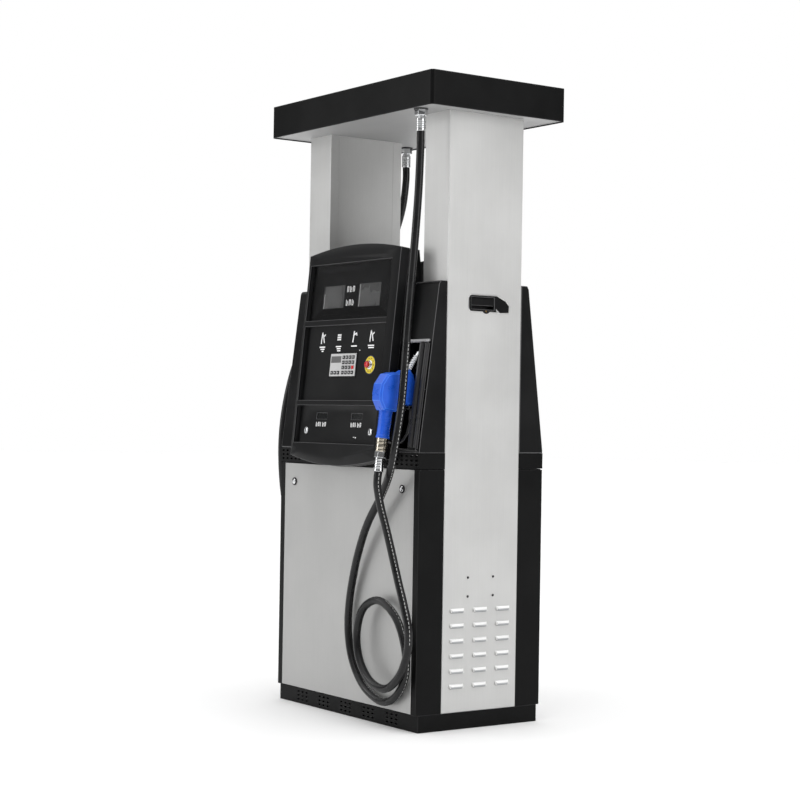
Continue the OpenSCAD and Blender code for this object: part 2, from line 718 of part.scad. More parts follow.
module nozzle_body() on_nozzle() difference() {
    union() {
        nozzle_head(4.3, cover_half - 4.3);
        translate([0, 0, 92]) cylinder(r = grip_bore, h = 130);
        translate([0, 0, 92]) cylinder(r = 17, h = 15.7);
        slab_x([-7, 7], concat(guard_line, guard_inner));
        for (x = [-8.5, 5.5]) slab_x([x, x + 3], [[61, 238], [75, 238], [75, 212], [61, 212]]);
    }
    translate([0, 0, 91]) cylinder(r = 10 + run, h = 14);
    along_spout() cylinder(r = spout_d / 2 + run, h = 60);
    rod_x([-10, lever_pin[0], lever_pin[1]], 2.5 + run, 20);
}

module nozzle_spout() on_nozzle() along_spout() difference() {
    union() {
        cylinder(r = spout_d / 2, h = 104);
        for (i = [0:7]) translate([0, 0, 32 + i * 8]) cylinder(r = spout_d / 2 + 2.5, h = 4);
    }
    translate([0, 0, 4]) cylinder(r = spout_d / 2 - 2, h = 110);
}

module nozzle_lever() on_nozzle() difference() {
    union() {
        slab_x([-5, 5], [[62, 214], [64, 223], [72, 223], [74, 214], [60, 150], [56, 114], [50, 114], [53, 150]]);
        rod_x([-8.3, lever_pin[0], lever_pin[1]], 2.5, 16.6);
    }
}

// Rotating union at the grip, hexagon and ferrule
module nozzle_swivel() on_nozzle() {
    translate([0, 0, gap]) cylinder(r = ferrule_d / 2, h = 44);
    translate([0, 0, 44]) cylinder(r = 19.5, h = 20, $fn = 6);
    translate([0, 0, 64]) cylinder(r = 18, h = 28 - gap);
    translate([0, 0, 80]) cylinder(r = 10, h = 23);
}

module nozzle_body_front() color("#aeb1b5") nozzle_body();
module nozzle_cover_front() color("#1f4fd0") nozzle_cover();
module nozzle_spout_front() color("#cfd2d6") nozzle_spout();
module nozzle_lever_front() color("#b9bcc0") nozzle_lever();
module nozzle_swivel_front() color("#c9b98a") nozzle_swivel();
module nozzle_body_rear() color("#aeb1b5") turned() nozzle_body();
module nozzle_cover_rear() color("#1f4fd0") turned() nozzle_cover();
module nozzle_spout_rear() color("#cfd2d6") turned() nozzle_spout();
module nozzle_lever_rear() color("#b9bcc0") turned() nozzle_lever();
module nozzle_swivel_rear() color("#c9b98a") turned() nozzle_swivel();

// ---- hoses ----

// A smooth curve through the route's points, two steps to each stretch
function spline(p, i, t) =
    let (n = len(p) - 1, a = p[max(i - 1, 0)], b = p[i], c = p[min(i + 1, n)], d = p[min(i + 2, n)])
    0.5 * ((2 * b) + (c - a) * t + (2 * a - 5 * b + 4 * c - d) * t * t + (3 * b - a - 3 * c + d) * t * t * t);

function smooth(p) = concat([for (i = [0:len(p) - 2], t = [0, 0.5]) spline(p, i, t)], [p[len(p) - 1]]);

function unit(v) = v / norm(v);

// One ring of the tube, square to the curve, on a frame that never twists past its neighbour
hose_sides = 10;
function ring(c, dir) =
    let (side = unit(cross(dir, [0.3, 1, 0.1])), up = cross(side, dir))
    [for (k = [0:hose_sides - 1]) let (a = 360 * k / hose_sides)
        c + hose_d / 2 * (cos(a) * side + sin(a) * up)];

module tube(route) {
    line = smooth(route);
    n = len(line);
    last = len(route) - 1;
    // the end rings stand square to the route's own end stretches, face to face with the ferrules
    along = [for (i = [0:n - 1])
        i == 0 ? route[1] - route[0]
        : i == n - 1 ? route[last] - route[last - 1]
        : line[i + 1] - line[i - 1]];
    rings = [for (i = [0:n - 1]) ring(line[i], unit(along[i]))];
    points = [for (r = rings, p = r) p];
    walls = [for (i = [0:n - 2], k = [0:hose_sides - 1])
        let (m = (k + 1) % hose_sides, a = i * hose_sides, b = a + hose_sides)
        [a + k, a + m, b + m, b + k]];
    ends = [[for (k = [hose_sides - 1:-1:0]) k], [for (k = [0:hose_sides - 1]) (n - 1) * hose_sides + k]];
    polyhedron(points, concat(walls, ends));
}

module hose_front() color("#131313") tube(front_route);
module hose_rear() color("#131313") tube(rear_route);

plinth();
inner_frame();
column_right();
column_left();
end_covers();
latch_dishes();
latch_lever_right();
latch_lever_left();
canopy_cap();
canopy_tray();
corner_posts();
front_door();
rear_door();
door_lock_fl();
door_lock_fr();
door_lock_rl();
door_lock_rr();
vent_band();
nozzle_boot_front();
nozzle_boot_rear();
side_shoulders();
head_cabinet();
head_door_front();
head_door_rear();
display_lens_front();
display_lens_rear();
displays_front();
displays_rear();
keypad_front();
keypad_rear();
stop_base_front();
stop_base_rear();
stop_button_front();
stop_button_rear();
head_lock_fl();
head_lock_fr();
head_lock_rl();
head_lock_rr();
boot_lever_front();
boot_lever_rear();
motor();
motor_pulley();
pump_unit();
pump_pulley();
drive_belt();
flow_meters();
pipework();
electronics();
nozzle_body_front();
nozzle_cover_front();
nozzle_spout_front();
nozzle_lever_front();
nozzle_swivel_front();
nozzle_body_rear();
nozzle_cover_rear();
nozzle_spout_rear();
nozzle_lever_rear();
nozzle_swivel_rear();
hose_front();
hose_rear();
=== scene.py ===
# %% [markdown]
# # A fuel dispenser with two hoses
# The frame holds every part of the dispenser at its true size and place. This lesson
# puts the looks round it: rounded sheet metal, a moulded head, hoses, a nozzle and the
# small things on its face. We load the frame first.

import math

import bmesh
import bpy
from mathutils import Matrix, Vector


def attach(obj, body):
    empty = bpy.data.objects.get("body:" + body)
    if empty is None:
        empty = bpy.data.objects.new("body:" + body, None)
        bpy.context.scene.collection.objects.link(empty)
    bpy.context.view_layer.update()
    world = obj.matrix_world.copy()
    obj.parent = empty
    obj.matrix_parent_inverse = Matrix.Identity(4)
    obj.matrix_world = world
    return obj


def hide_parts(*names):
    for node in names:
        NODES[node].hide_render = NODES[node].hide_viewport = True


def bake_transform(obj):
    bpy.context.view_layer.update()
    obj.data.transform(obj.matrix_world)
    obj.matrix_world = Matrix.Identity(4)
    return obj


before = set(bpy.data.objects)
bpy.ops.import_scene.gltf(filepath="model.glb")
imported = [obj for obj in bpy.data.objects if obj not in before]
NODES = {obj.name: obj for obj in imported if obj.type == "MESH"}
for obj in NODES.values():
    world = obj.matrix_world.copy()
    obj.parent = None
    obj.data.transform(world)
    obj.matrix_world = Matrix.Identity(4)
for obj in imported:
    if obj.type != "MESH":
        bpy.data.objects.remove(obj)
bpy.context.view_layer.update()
scene = bpy.context.scene

# %% [markdown]
# ## The camera
# The dispenser is seen from its front right corner, a little above half its height, with a
# long lens from six and a half metres. The rotation is built from three plain turns: round
# the dispenser, up from straight down, and a slight roll.

# %% The camera
CAMERA_PLACE = (5.3399, -3.8274, 1.0566)
CAMERA_TURNS = (("Z", 54.648), ("X", 90.4833), ("Z", 0.9286))
CAMERA_LENS = 82.08
camera = bpy.data.objects.new("camera", bpy.data.cameras.new("camera"))
scene.collection.objects.link(camera)
camera.data.sensor_width = 36.0
camera.data.lens = CAMERA_LENS
camera.data.clip_end = 100.0
stand = Matrix.Translation(CAMERA_PLACE)
for axis, degrees in CAMERA_TURNS:
    stand = stand @ Matrix.Rotation(math.radians(degrees), 4, axis)
camera.matrix_world = stand
scene.camera = camera

# %% [markdown]
# ## Helpers for finished pieces
# Every new piece is drawn in a bmesh, turned into an object at the origin, smoothed by
# angle and set to ride on a body of the frame. The weighted normals keep wide flat faces
# flat while the narrow strips of a rounded edge stay smooth. The rear of the dispenser is
# its front turned half round, so most pieces are drawn once and made twice.

# %% Pieces
FRONT = Matrix.Identity(4)
REAR = Matrix.Rotation(math.pi, 4, "Z")
SIDES = (("front", FRONT), ("rear", REAR))
ENDS = (("right", FRONT), ("left", REAR))


def piece(name, bm, body, finish, stands_for=(), sharp=40):
    """A bmesh becomes an object that rides on a body and takes the place of CAD nodes."""
    mesh = bpy.data.meshes.new(name)
    bm.to_mesh(mesh)
    bm.free()
    mesh.materials.append(finish)
    mesh.shade_smooth()
    mesh.set_sharp_from_angle(angle=math.radians(sharp))
    made = bpy.data.objects.new(name, mesh)
    scene.collection.objects.link(made)
    evened = made.modifiers.new("even_normals", "WEIGHTED_NORMAL")
    evened.keep_sharp = True
    if body:
        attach(made, body)
    if stands_for:
        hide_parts(*stands_for)
    return made


def add_to(bm, part, place=FRONT):
    """Moves a small bmesh to its place and adds it to a larger one."""
    carrier = bpy.data.meshes.new("carrier")
    placed(part, place).to_mesh(carrier)
    part.free()
    bm.from_mesh(carrier)
    bpy.data.meshes.remove(carrier)
    return bm


def placed(part, place):
    """A bmesh moved to its place."""
    bmesh.ops.transform(part, matrix=place, verts=part.verts)
    return part


def on_both(name, part, place, body, finish, stands_for=(), sharp=40, sides=SIDES):
    """Makes a piece of a part at its place, and another half a turn round."""
    carrier = bpy.data.meshes.new("carrier")
    part.to_mesh(carrier)
    part.free()
    for side, turn in sides:
        bm = bmesh.new()
        bm.from_mesh(carrier)
        piece(f"{name}_{side}", placed(bm, turn @ place), body.format(side), finish,
              [node.format(side) for node in stands_for], sharp)
    bpy.data.meshes.remove(carrier)


def joined(*parts):
    """Several small bmeshes as one."""
    whole = bmesh.new()
    for part in parts:
        add_to(whole, part)
    return whole


def soften(bm, width, segments=2, angle=30, edges=None):
    """Rounds every edge that is sharper than the angle, or only those given."""
    if edges is None:
        least = math.radians(angle)
        edges = [e for e in bm.edges if e.is_manifold and e.calc_face_angle() > least]
    return bmesh.ops.bevel(bm, geom=edges, offset=width, segments=segments, affect="EDGES",
                           profile=0.5, material=-1, clamp_overlap=True)


def block(low, high, round_by=0.0, segments=2):
    """A box between two corners, with its edges rounded."""
    size = Vector(high) - Vector(low)
    middle = (Vector(high) + Vector(low)) / 2
    bm = bmesh.new()
    place = Matrix.Translation(middle) @ Matrix.Diagonal((*size, 1))
    bmesh.ops.create_cube(bm, size=1, matrix=place)
    if round_by:
        soften(bm, round_by, segments)
    return bm


def lathe(profile, steps=48, closed=False):
    """A round piece on the Z axis from points (radius, height); closed makes a ring."""
    bm = bmesh.new()
    verts = [bm.verts.new((radius, 0, height)) for radius, height in profile]
    pairs = list(zip(verts, verts[1:])) + ([(verts[-1], verts[0])] if closed else [])
    edges = [bm.edges.new(pair) for pair in pairs]
    bmesh.ops.spin(bm, geom=verts + edges, cent=(0, 0, 0), axis=(0, 0, 1), dvec=(0, 0, 0),
                   angle=2 * math.pi, steps=steps, use_merge=True, use_duplicate=False)
    bmesh.ops.remove_doubles(bm, verts=bm.verts, dist=1e-6)
    bmesh.ops.recalc_face_normals(bm, faces=bm.faces)
    return bm


def prism(outline, low, high):
    """An outline in X and Y, given height along Z."""
    bm = bmesh.new()
    face = bm.faces.new([bm.verts.new((x, y, low)) for x, y in outline])
    grown = bmesh.ops.extrude_face_region(bm, geom=[face])["geom"]
    rise = [v for v in grown if isinstance(v, bmesh.types.BMVert)]
    bmesh.ops.translate(bm, vec=(0, 0, high - low), verts=rise)
    bmesh.ops.recalc_face_normals(bm, faces=bm.faces)
    return bm


# %% [markdown]
# ## Shared effects
# Four effects come back in many finishes, so each is a node group with named sockets: the
# fine grain of powder coat and moulded plastic, the lines of brushed sheet, the faint marks
# that hands and weather leave, and a painted highlight for the light that a rounded edge
# catches. The last one reads a face attribute that the rounding writes, so it follows the
# edges exactly.

# %% Node helpers
def feed(tree, socket, value):
    """Gives an input a plain value, or links it from an output."""
    if isinstance(value, bpy.types.NodeSocket):
        tree.links.new(value, socket)
    else:
        socket.default_value = value


def add_node(tree, kind, settings=(), **inputs):
    """One node, with its settings and its inputs as values or linked sockets."""
    node = tree.nodes.new(kind)
    for key, value in dict(settings).items():
        setattr(node, key, value)
    for key, value in inputs.items():
        feed(tree, node.inputs[key.replace("_", " ")], value)
    return node


def maths(tree, kind, *values, clamp=False):
    """The result of a sum, a product or a comparison."""
    node = add_node(tree, "ShaderNodeMath", {"operation": kind, "use_clamp": clamp})
    for socket, value in zip(node.inputs, values):
        feed(tree, socket, value)
    return node.outputs[0]


def ranged(tree, value, low=0.0, high=1.0, kind="LINEAR", **span):
    """A value stretched to run between two ends."""
    node = add_node(tree, "ShaderNodeMapRange", {"interpolation_type": kind}, Value=value,
                    To_Min=low, To_Max=high, **span)
    return node.outputs["Result"]


def mixed(tree, share, low, high, kind="MIX"):
    """A colour between two colours, or their product."""
    node = add_node(tree, "ShaderNodeMix", {"data_type": "RGBA", "blend_type": kind},
                    Factor=share, A=low, B=high)
    return node.outputs["Result"]


def noise(tree, scale, **inputs):
    """A noise over the piece's own coordinates, in metres."""
    if "Vector" not in inputs:
        inputs["Vector"] = add_node(tree, "ShaderNodeTexCoord").outputs["Object"]
    return add_node(tree, "ShaderNodeTexNoise", Scale=scale, **inputs).outputs["Fac"]


def use(tree, group, **inputs):
    """A group placed in a material with its own values; returns its output."""
    node = add_node(tree, "ShaderNodeGroup", {"node_tree": group}, **inputs)
    return node.outputs[0]


# %% Node groups
FLOAT = "NodeSocketFloat"


def new_group(name, inputs, output):
    """An empty group with float sockets; returns it, what it is given and what it gives."""
    tree = bpy.data.node_groups.new(name, "ShaderNodeTree")
    for label, value in inputs.items():
        tree.interface.new_socket(label, in_out="INPUT", socket_type=FLOAT).default_value = value
    tree.interface.new_socket(output, in_out="OUTPUT", socket_type=FLOAT)
    given, out = tree.nodes.new("NodeGroupInput"), tree.nodes.new("NodeGroupOutput")
    return tree, given.outputs, out.inputs


def fine_grain_group():
    """Tiny bumps, from two noises of different size."""
    tree, given, out = new_group("fine_grain", {"Scale": 900.0, "Coarse": 0.35}, "Height")
    small = noise(tree, given["Scale"], Detail=2.0)
    large = noise(tree, maths(tree, "MULTIPLY", given["Scale"], 0.28), Detail=1.0)
    both = add_node(tree, "ShaderNodeMix", {"data_type": "FLOAT"}, Factor=given["Coarse"],
                    A=small, B=large)
    feed(tree, out["Height"], both.outputs["Result"])
    return tree


def brushed_lines_group():
    """Long thin streaks: a noise squeezed across them, stretched along X, Y and Z by inputs."""
    inputs = {"Along X": 400.0, "Along Y": 400.0, "Along Z": 6.0}
    tree, given, out = new_group("brushed_lines", inputs, "Lines")
    place = add_node(tree, "ShaderNodeTexCoord").outputs["Object"]
    apart = add_node(tree, "ShaderNodeSeparateXYZ", Vector=place).outputs
    squeezed = {axis: maths(tree, "MULTIPLY", apart[axis], given["Along " + axis]) for axis in "XYZ"}
    together = add_node(tree, "ShaderNodeCombineXYZ", **squeezed).outputs[0]
    feed(tree, out["Lines"], noise(tree, 1.0, Vector=together, Detail=3.0, Roughness=0.6))
    return tree


def handling_group():
    """Soft patches of wiping and dust, with fine specks in them."""
    tree, given, out = new_group("handling", {"Size": 5.0, "Specks": 0.3}, "Marks")
    clouds = noise(tree, given["Size"], Detail=4.0, Roughness=0.55)
    specks = ranged(tree, noise(tree, 260.0, Detail=1.0), From_Min=0.62, From_Max=0.72)
    soft = ranged(tree, clouds, From_Min=0.38, From_Max=0.70)
    dust = maths(tree, "MULTIPLY", specks, given["Specks"])
    feed(tree, out["Marks"], maths(tree, "ADD", soft, dust, clamp=True))
    return tree


def edge_light_group():
    """A painted highlight on rounded edges, broken up unevenly by noise."""
    tree, given, out = new_group("edge_light", {"Evenness": 0.7}, "Highlight")
    edge = add_node(tree, "ShaderNodeAttribute", {"attribute_name": "edge"}).outputs["Fac"]
    even = add_node(tree, "ShaderNodeMix", {"data_type": "FLOAT"}, Factor=given["Evenness"],
                    A=noise(tree, 38.0, Detail=3.0), B=1.0)
    feed(tree, out["Highlight"], maths(tree, "MULTIPLY", even.outputs["Result"], edge, clamp=True))
    return tree


GRAIN, BRUSH = fine_grain_group(), brushed_lines_group()
MARKS, EDGES = handling_group(), edge_light_group()

# %% [markdown]
# ## One recipe for coated and bare surfaces
# Paint, moulding and metal differ in a handful of numbers: colour, gloss, how rough the
# grain is, how much the marks show, and the colour of the painted highlight on rounded
# edges. One function builds the node tree, and each finish below gives its own numbers.
# Values that are the same all over are set on the shader's own sockets.

# %% The recipe
COAT_ROUGHNESS = 0.12
GRAIN_DEPTH = 0.0004
STREAK_SPREAD = 0.12


def surface(name, colour, rough, metal=0.0, coat=0.0, grain=0.0, scale=900.0, marks=0.05,
            worn=None, size=5.0, brushed=None, spread=0.06, specks=0.3, gleam=0.5):
    """A Principled finish whose colour, gloss and bumps vary as on the real surface, with a painted
    highlight on rounded edges if given.
    """
    material = bpy.data.materials.new(name)
    material.use_nodes = True
    tree = material.node_tree
    shader = tree.nodes["Principled BSDF"].inputs
    for label, value in (("Metallic", metal), ("Coat Weight", coat),
                         ("Coat Roughness", COAT_ROUGHNESS), ("Specular IOR Level", gleam)):
        shader[label].default_value = value
    handled = use(tree, MARKS, Size=size, Specks=specks)
    dusty = [min(1, c * (1 + 4 * marks) + 0.12 * marks) for c in colour]
    top = mixed(tree, handled, (*colour, 1), (*dusty, 1))
    # Painted highlight: the rounded strips that the edge attribute marks take a lighter colour.
    if worn:
        top = mixed(tree, use(tree, EDGES), top, (*worn, 1))
    roughness = ranged(tree, handled, rough - spread, rough + spread)
    if brushed:
        height = use(tree, BRUSH, **dict(zip(("Along_X", "Along_Y", "Along_Z"), brushed)))
        streaked = ranged(tree, height, rough - STREAK_SPREAD, rough + STREAK_SPREAD)
        roughness = maths(tree, "MULTIPLY", maths(tree, "ADD", streaked, roughness), 0.5)
        top = mixed(tree, 1.0, top, ranged(tree, height, 0.93, 1.05), "MULTIPLY")
    elif grain:
        height = use(tree, GRAIN, Scale=scale)
    if grain:
        bump = add_node(tree, "ShaderNodeBump", Strength=grain, Distance=GRAIN_DEPTH, Height=height)
        feed(tree, shader["Normal"], bump.outputs["Normal"])
    feed(tree, shader["Base Color"], top)
    feed(tree, shader["Roughness"], roughness)
    return material


# %% [markdown]
# ## The finishes
# The body is powder-coated sheet in near black, fine-brushed stainless covers and doors a
# shade darker. The head and the hoods are moulded with a finer skin. Bright pieces are
# chrome, nickel, brass and bare castings; the hoses are glossy rubber.

# %% Finishes
# Each worn colour below is a painted highlight on the rounded edges.
POWDER_BLACK = surface("powder_black", (0.0034, 0.0035, 0.0036), 0.42, grain=0.30, scale=700,
                       marks=0.015, worn=(0.030, 0.030, 0.031), gleam=0.10)
MOULDED_BLACK = surface("moulded_black", (0.0038, 0.0039, 0.0042), 0.34, grain=0.34, scale=1300,
                        marks=0.020, worn=(0.150, 0.150, 0.153), gleam=0.16)
# Painted highlight: the boot's cheek and ribs, a lighter black than the moulding round them.
RIB_BLACK_HIGHLIGHT = surface("rib_black", (0.026, 0.026, 0.027), 0.30, grain=0.06, scale=1300,
                    marks=0.02)
FACE_BLACK = surface("face_black", (0.0045, 0.0046, 0.0050), 0.40, grain=0.34, scale=1500,
                     marks=0.018, worn=(0.110, 0.110, 0.113), gleam=0.13)
COVER_STEEL = surface("cover_steel", (0.57, 0.57, 0.562), 0.40, metal=0.50, grain=0.10,
                      marks=0.015, brushed=(500, 500, 5), worn=(0.95, 0.95, 0.95))
# Painted highlight: the latch's pressed surround, near white on the steel cover.
SHEET_HIGHLIGHT = surface("bright_sheet", (0.97, 0.97, 0.965), 0.35, metal=0.1, grain=0.08,
                       scale=500, marks=0.01)
# Painted highlight: the upper slope of each louvre, lighter than the cover sheet it is pressed from.
LOUVRE_STEEL_HIGHLIGHT = surface("louvre_steel_painted_highlight", (0.86, 0.86, 0.855), 0.38, metal=0.25, grain=0.08,
                       scale=500, marks=0.01)
DOOR_SILVER = surface("door_silver", (0.43, 0.43, 0.424), 0.42, metal=0.50, grain=0.12,
                      marks=0.015, brushed=(420, 420, 7), worn=(0.78, 0.78, 0.78))
TRAY_GREY = surface("tray_grey", (0.30, 0.30, 0.30), 0.45, grain=0.12, scale=500, marks=0.02)
ZINC = surface("zinc_plate", (0.42, 0.43, 0.44), 0.42, metal=0.9, grain=0.10, scale=60,
               marks=0.04, size=24)
CHROME = surface("bright_chrome", (0.72, 0.73, 0.74), 0.13, metal=1.0, marks=0.01,
                 spread=0.04, size=60)
NICKEL = surface("warm_nickel", (0.58, 0.53, 0.44), 0.24, metal=1.0, marks=0.02, grain=0.08,
                 brushed=(14, 14, 900), spread=0.05)
BRASS = surface("key_brass", (0.62, 0.40, 0.16), 0.28, metal=1.0, marks=0.03, size=90)
CASTING = surface("cast_aluminium", (0.46, 0.47, 0.48), 0.44, metal=0.95, grain=0.5,
                  scale=420, marks=0.03, size=30)
TRIGGER_STEEL = surface("trigger_steel", (0.50, 0.50, 0.50), 0.30, metal=1.0, grain=0.10,
                        scale=300, marks=0.03)
COVER_BLUE = surface("cover_blue", (0.014, 0.098, 0.60), 0.32, grain=0.16, scale=800, marks=0.05,
                     worn=(0.06, 0.26, 0.95), size=18, specks=0.9, gleam=0.35)
STOP_YELLOW = surface("stop_yellow", (0.72, 0.56, 0.02), 0.38, grain=0.1, scale=600, marks=0.03)
STOP_RED = surface("stop_red", (0.52, 0.008, 0.012), 0.28, coat=0.3, grain=0.05, scale=700,
                   marks=0.03)
# Painted highlight: the raised lip over the boot's recess, pale grey on the black moulding.
LIP_HIGHLIGHT = surface("pale_lip", (0.30, 0.30, 0.305), 0.36, grain=0.2, scale=900, marks=0.05)
RIM_BLUE = surface("rim_blue", (0.006, 0.010, 0.045), 0.40, marks=0.04)
PRINT_WHITE = surface("print_white", (0.92, 0.92, 0.92), 0.55, marks=0.02)
KEYPAD_SILVER = surface("keypad_silver", (0.60, 0.60, 0.60), 0.36, metal=0.35, grain=0.1,
                        scale=1600, marks=0.02)
KEY_BLACK = surface("key_black", (0.008, 0.008, 0.009), 0.36, grain=0.2, scale=1500,
                    marks=0.03, gleam=0.3)
DARK_BOARD = surface("dark_board", (0.03, 0.03, 0.032), 0.5, grain=0.2, scale=500, marks=0.05)
BOARD_GREEN = surface("board_green", (0.02, 0.13, 0.06), 0.42, coat=0.2, grain=0.2, scale=300,
                      marks=0.06)
MOTOR_PAINT = surface("motor_paint", (0.10, 0.16, 0.22), 0.38, grain=0.25, scale=350)
PUMP_IRON = surface("pump_iron", (0.19, 0.20, 0.21), 0.5, metal=0.5, grain=0.6, scale=350)
BELT_RUBBER = surface("belt_rubber", (0.012, 0.012, 0.012), 0.62, grain=0.4)
DARK_CASTING = surface("dark_casting", (0.022, 0.022, 0.024), 0.42, metal=0.4, grain=0.4,
                       scale=420, marks=0.03, size=30, worn=(0.22, 0.22, 0.23))
LCD_GREY = surface("lcd_grey", (0.105, 0.105, 0.105), 0.30, marks=0.10, size=9, specks=0.0,
                   gleam=0.3)
LCD_DIM = surface("lcd_dim", (0.006, 0.0065, 0.007), 0.25, marks=0.02, specks=0.0, gleam=0.3)

# %% [markdown]
# ## Rounded copies of the frame's parts
# Real sheet metal is bent and real mouldings have a radius, and it is the thin line of light
# on those edges that makes them look solid. A frame part is loose triangles, so we copy it,
# merge the copy, dissolve the flat triangles into whole faces, and bevel the outer edges.
# An edge is left alone where a neighbouring face is too narrow for the rounding, which keeps
# two millimetre walls whole. Faces with inward corners are split first, because a bevel can
# fold them. The new strips get the value 1 in the face attribute `edge`, and the finishes
# paint a highlight on them.

# %% Rounded copies
def face_depth(face, edge):
    """How far a face reaches from one of its edges."""
    start = edge.verts[0].co
    along = (edge.verts[1].co - start).normalized()
    return max(((v.co - start) - along * (v.co - start).dot(along)).length for v in face.verts)


def clean_copy(node):
    """A merged copy of a node's mesh, with flat triangles joined into faces."""
    bm = bmesh.new()
    bm.from_mesh(NODES[node].data)
    bmesh.ops.remove_doubles(bm, verts=bm.verts, dist=2e-5)
    bmesh.ops.dissolve_limit(bm, angle_limit=math.radians(0.6), use_dissolve_boundaries=False,
                             verts=bm.verts, edges=bm.edges, delimit=set())
    return bm


def round_outer(bm, width, segments=2, angle=32):
    """Rounds convex edges that have room for it, marks the new strips and counts the edges."""
    layer = bm.faces.layers.float.new("edge")
    chosen = [
        e for e in bm.edges
        if e.is_manifold and e.is_convex and e.calc_face_angle() > math.radians(angle)
        and e.calc_length() > width and all(face_depth(f, e) > 2.1 * width for f in e.link_faces)
    ]
    bmesh.ops.connect_verts_concave(bm, faces=bm.faces)
    if chosen:
        made = bmesh.ops.bevel(bm, geom=chosen, offset=width, segments=segments, affect="EDGES",
                               profile=0.5, material=-1, clamp_overlap=False)
        for face in made["faces"]:
            face[layer] = 1.0
    return len(chosen)


def rounded(node, body, finish, width=0.001, segments=2):
    """A copy of a node with rounded edges, standing for it."""
    bm = clean_copy(node)
    count = round_outer(bm, width, segments)
    print(f"{node}: {count} edges rounded, {len(bm.faces)} faces")
    return piece(node + "_shell", bm, body, finish, [node])


rounded("canopy_cap", "root", POWDER_BLACK, 0.0025, 3)
rounded("canopy_tray", "root", TRAY_GREY, 0.0008)
rounded("plinth", "root", POWDER_BLACK, 0.0012)
rounded("corner_posts", "root", POWDER_BLACK, 0.0009)
for node in ("column_right", "column_left"):
    rounded(node, "root", COVER_STEEL, 0.0009)
for node in ("front_door", "rear_door"):
    rounded(node, "root", DOOR_SILVER, 0.0009)
rounded("side_shoulders", "root", MOULDED_BLACK, 0.0028, 3)
rounded("head_cabinet", "root", MOULDED_BLACK, 0.0013)
for side, turn in SIDES:
    rounded(f"nozzle_boot_{side}", "root", MOULDED_BLACK, 0.0014, 3)
    rounded(f"head_door_{side}", f"head_door_{side}", FACE_BLACK, 0.0014, 3)

# %% [markdown]
# ## The hoses
# A delivery hose is stiff rubber, 27 mm thick. It leaves its fitting straight down, hangs,
# makes one loop low in front of the cabinet and comes up to the nozzle from below. The
# points are the ones that the frame's hose follows. A smooth curve through them is swept
# with rings that never twist, and each vertex knows how far along the hose it lies, so the
# print on the rubber can follow it.

# %% Routes
COLUMN_IN, BAND_Y = 0.296, 0.266
HOSE_D = 0.027
FRONT_ROUTE = [
    (385, -245, 2018), (385, -245, 1950), (387, -251, 1820), (390, -262, 1690), (393, -276, 1545),
    (397, -292, 1390), (401, -306, 1230), (403, -320, 1090), (403, -338, 980), (386, -342, 895),
    (330, -322, 833), (270, -310, 770), (200, -306, 690), (143, -298, 607), (95, -290, 512),
    (61, -285, 400), (57, -284, 295), (88, -284, 200), (160, -284, 122), (267, -284, 86),
    (352, -284, 117), (401, -284, 190), (400, -286, 280), (350, -289, 377), (262, -297, 428),
    (178, -304, 396), (147, -309, 312), (166, -311, 222), (232, -311, 155), (325, -311, 139),
    (404, -312, 190), (451, -314, 270), (460, -317, 350), (437, -321, 430), (409, -325, 506),
    (383, -332, 591), (363, -342, 670), (346, -357, 752), (342, -368, 812), (342, -369, 842),
    (342, -365, 872),
]
REAR_ROUTE = [
    (-385, 245, 2018), (-385, 245, 1955), (-397, 238, 1850), (-423, 218, 1745), (-452, 178, 1650),
    (-469, 110, 1565), (-478, 34, 1490), (-482, -44, 1418), (-480, -118, 1343), (-474, -180, 1252),
    (-470, -220, 1130), (-469, -241, 1000), (-468, -243, 870), (-468, -226, 735), (-468, -184, 610),
    (-468, -140, 500), (-468, -118, 390), (-468, -112, 285), (-468, -72, 180), (-468, 14, 104),
    (-468, 120, 92), (-468, 202, 150), (-468, 226, 245), (-470, 190, 346), (-474, 108, 402),
    (-480, 24, 378), (-486, -20, 300), (-490, -4, 208), (-490, 66, 146), (-490, 158, 146),
    (-490, 228, 205), (-490, 262, 295), (-488, 276, 400), (-480, 284, 505), (-462, 294, 610),
    (-424, 314, 700), (-376, 346, 762), (-345, 366, 812), (-342, 369, 842), (-342, 365, 872),
]


def smooth_line(route, steps):
    """A smooth curve through the route's points, in metres."""
    p = [Vector(point) / 1000 for point in route]
    last = len(p) - 1
    line = []
    for i in range(last):
        a, b, c, d = p[max(i - 1, 0)], p[i], p[i + 1], p[min(i + 2, last)]
        for t in (k / steps for k in range(steps)):
            bend = (2 * a - 5 * b + 4 * c - d) * t * t + (3 * b - a - 3 * c + d) * t ** 3
            line.append(0.5 * (2 * b + (c - a) * t + bend))
    return line + [p[last]]


def far_along(line):
    """The distance from the start to each point of a line."""
    reach = [0.0]
    for a, b in zip(line, line[1:]):
        reach.append(reach[-1] + (b - a).length)
    return reach


# %% [markdown]
# The print is white, in groups of short dashes along two opposite lines of the hose. It is
# worked out from the hose's own map: u is the distance along it in metres and v goes once
# round it.

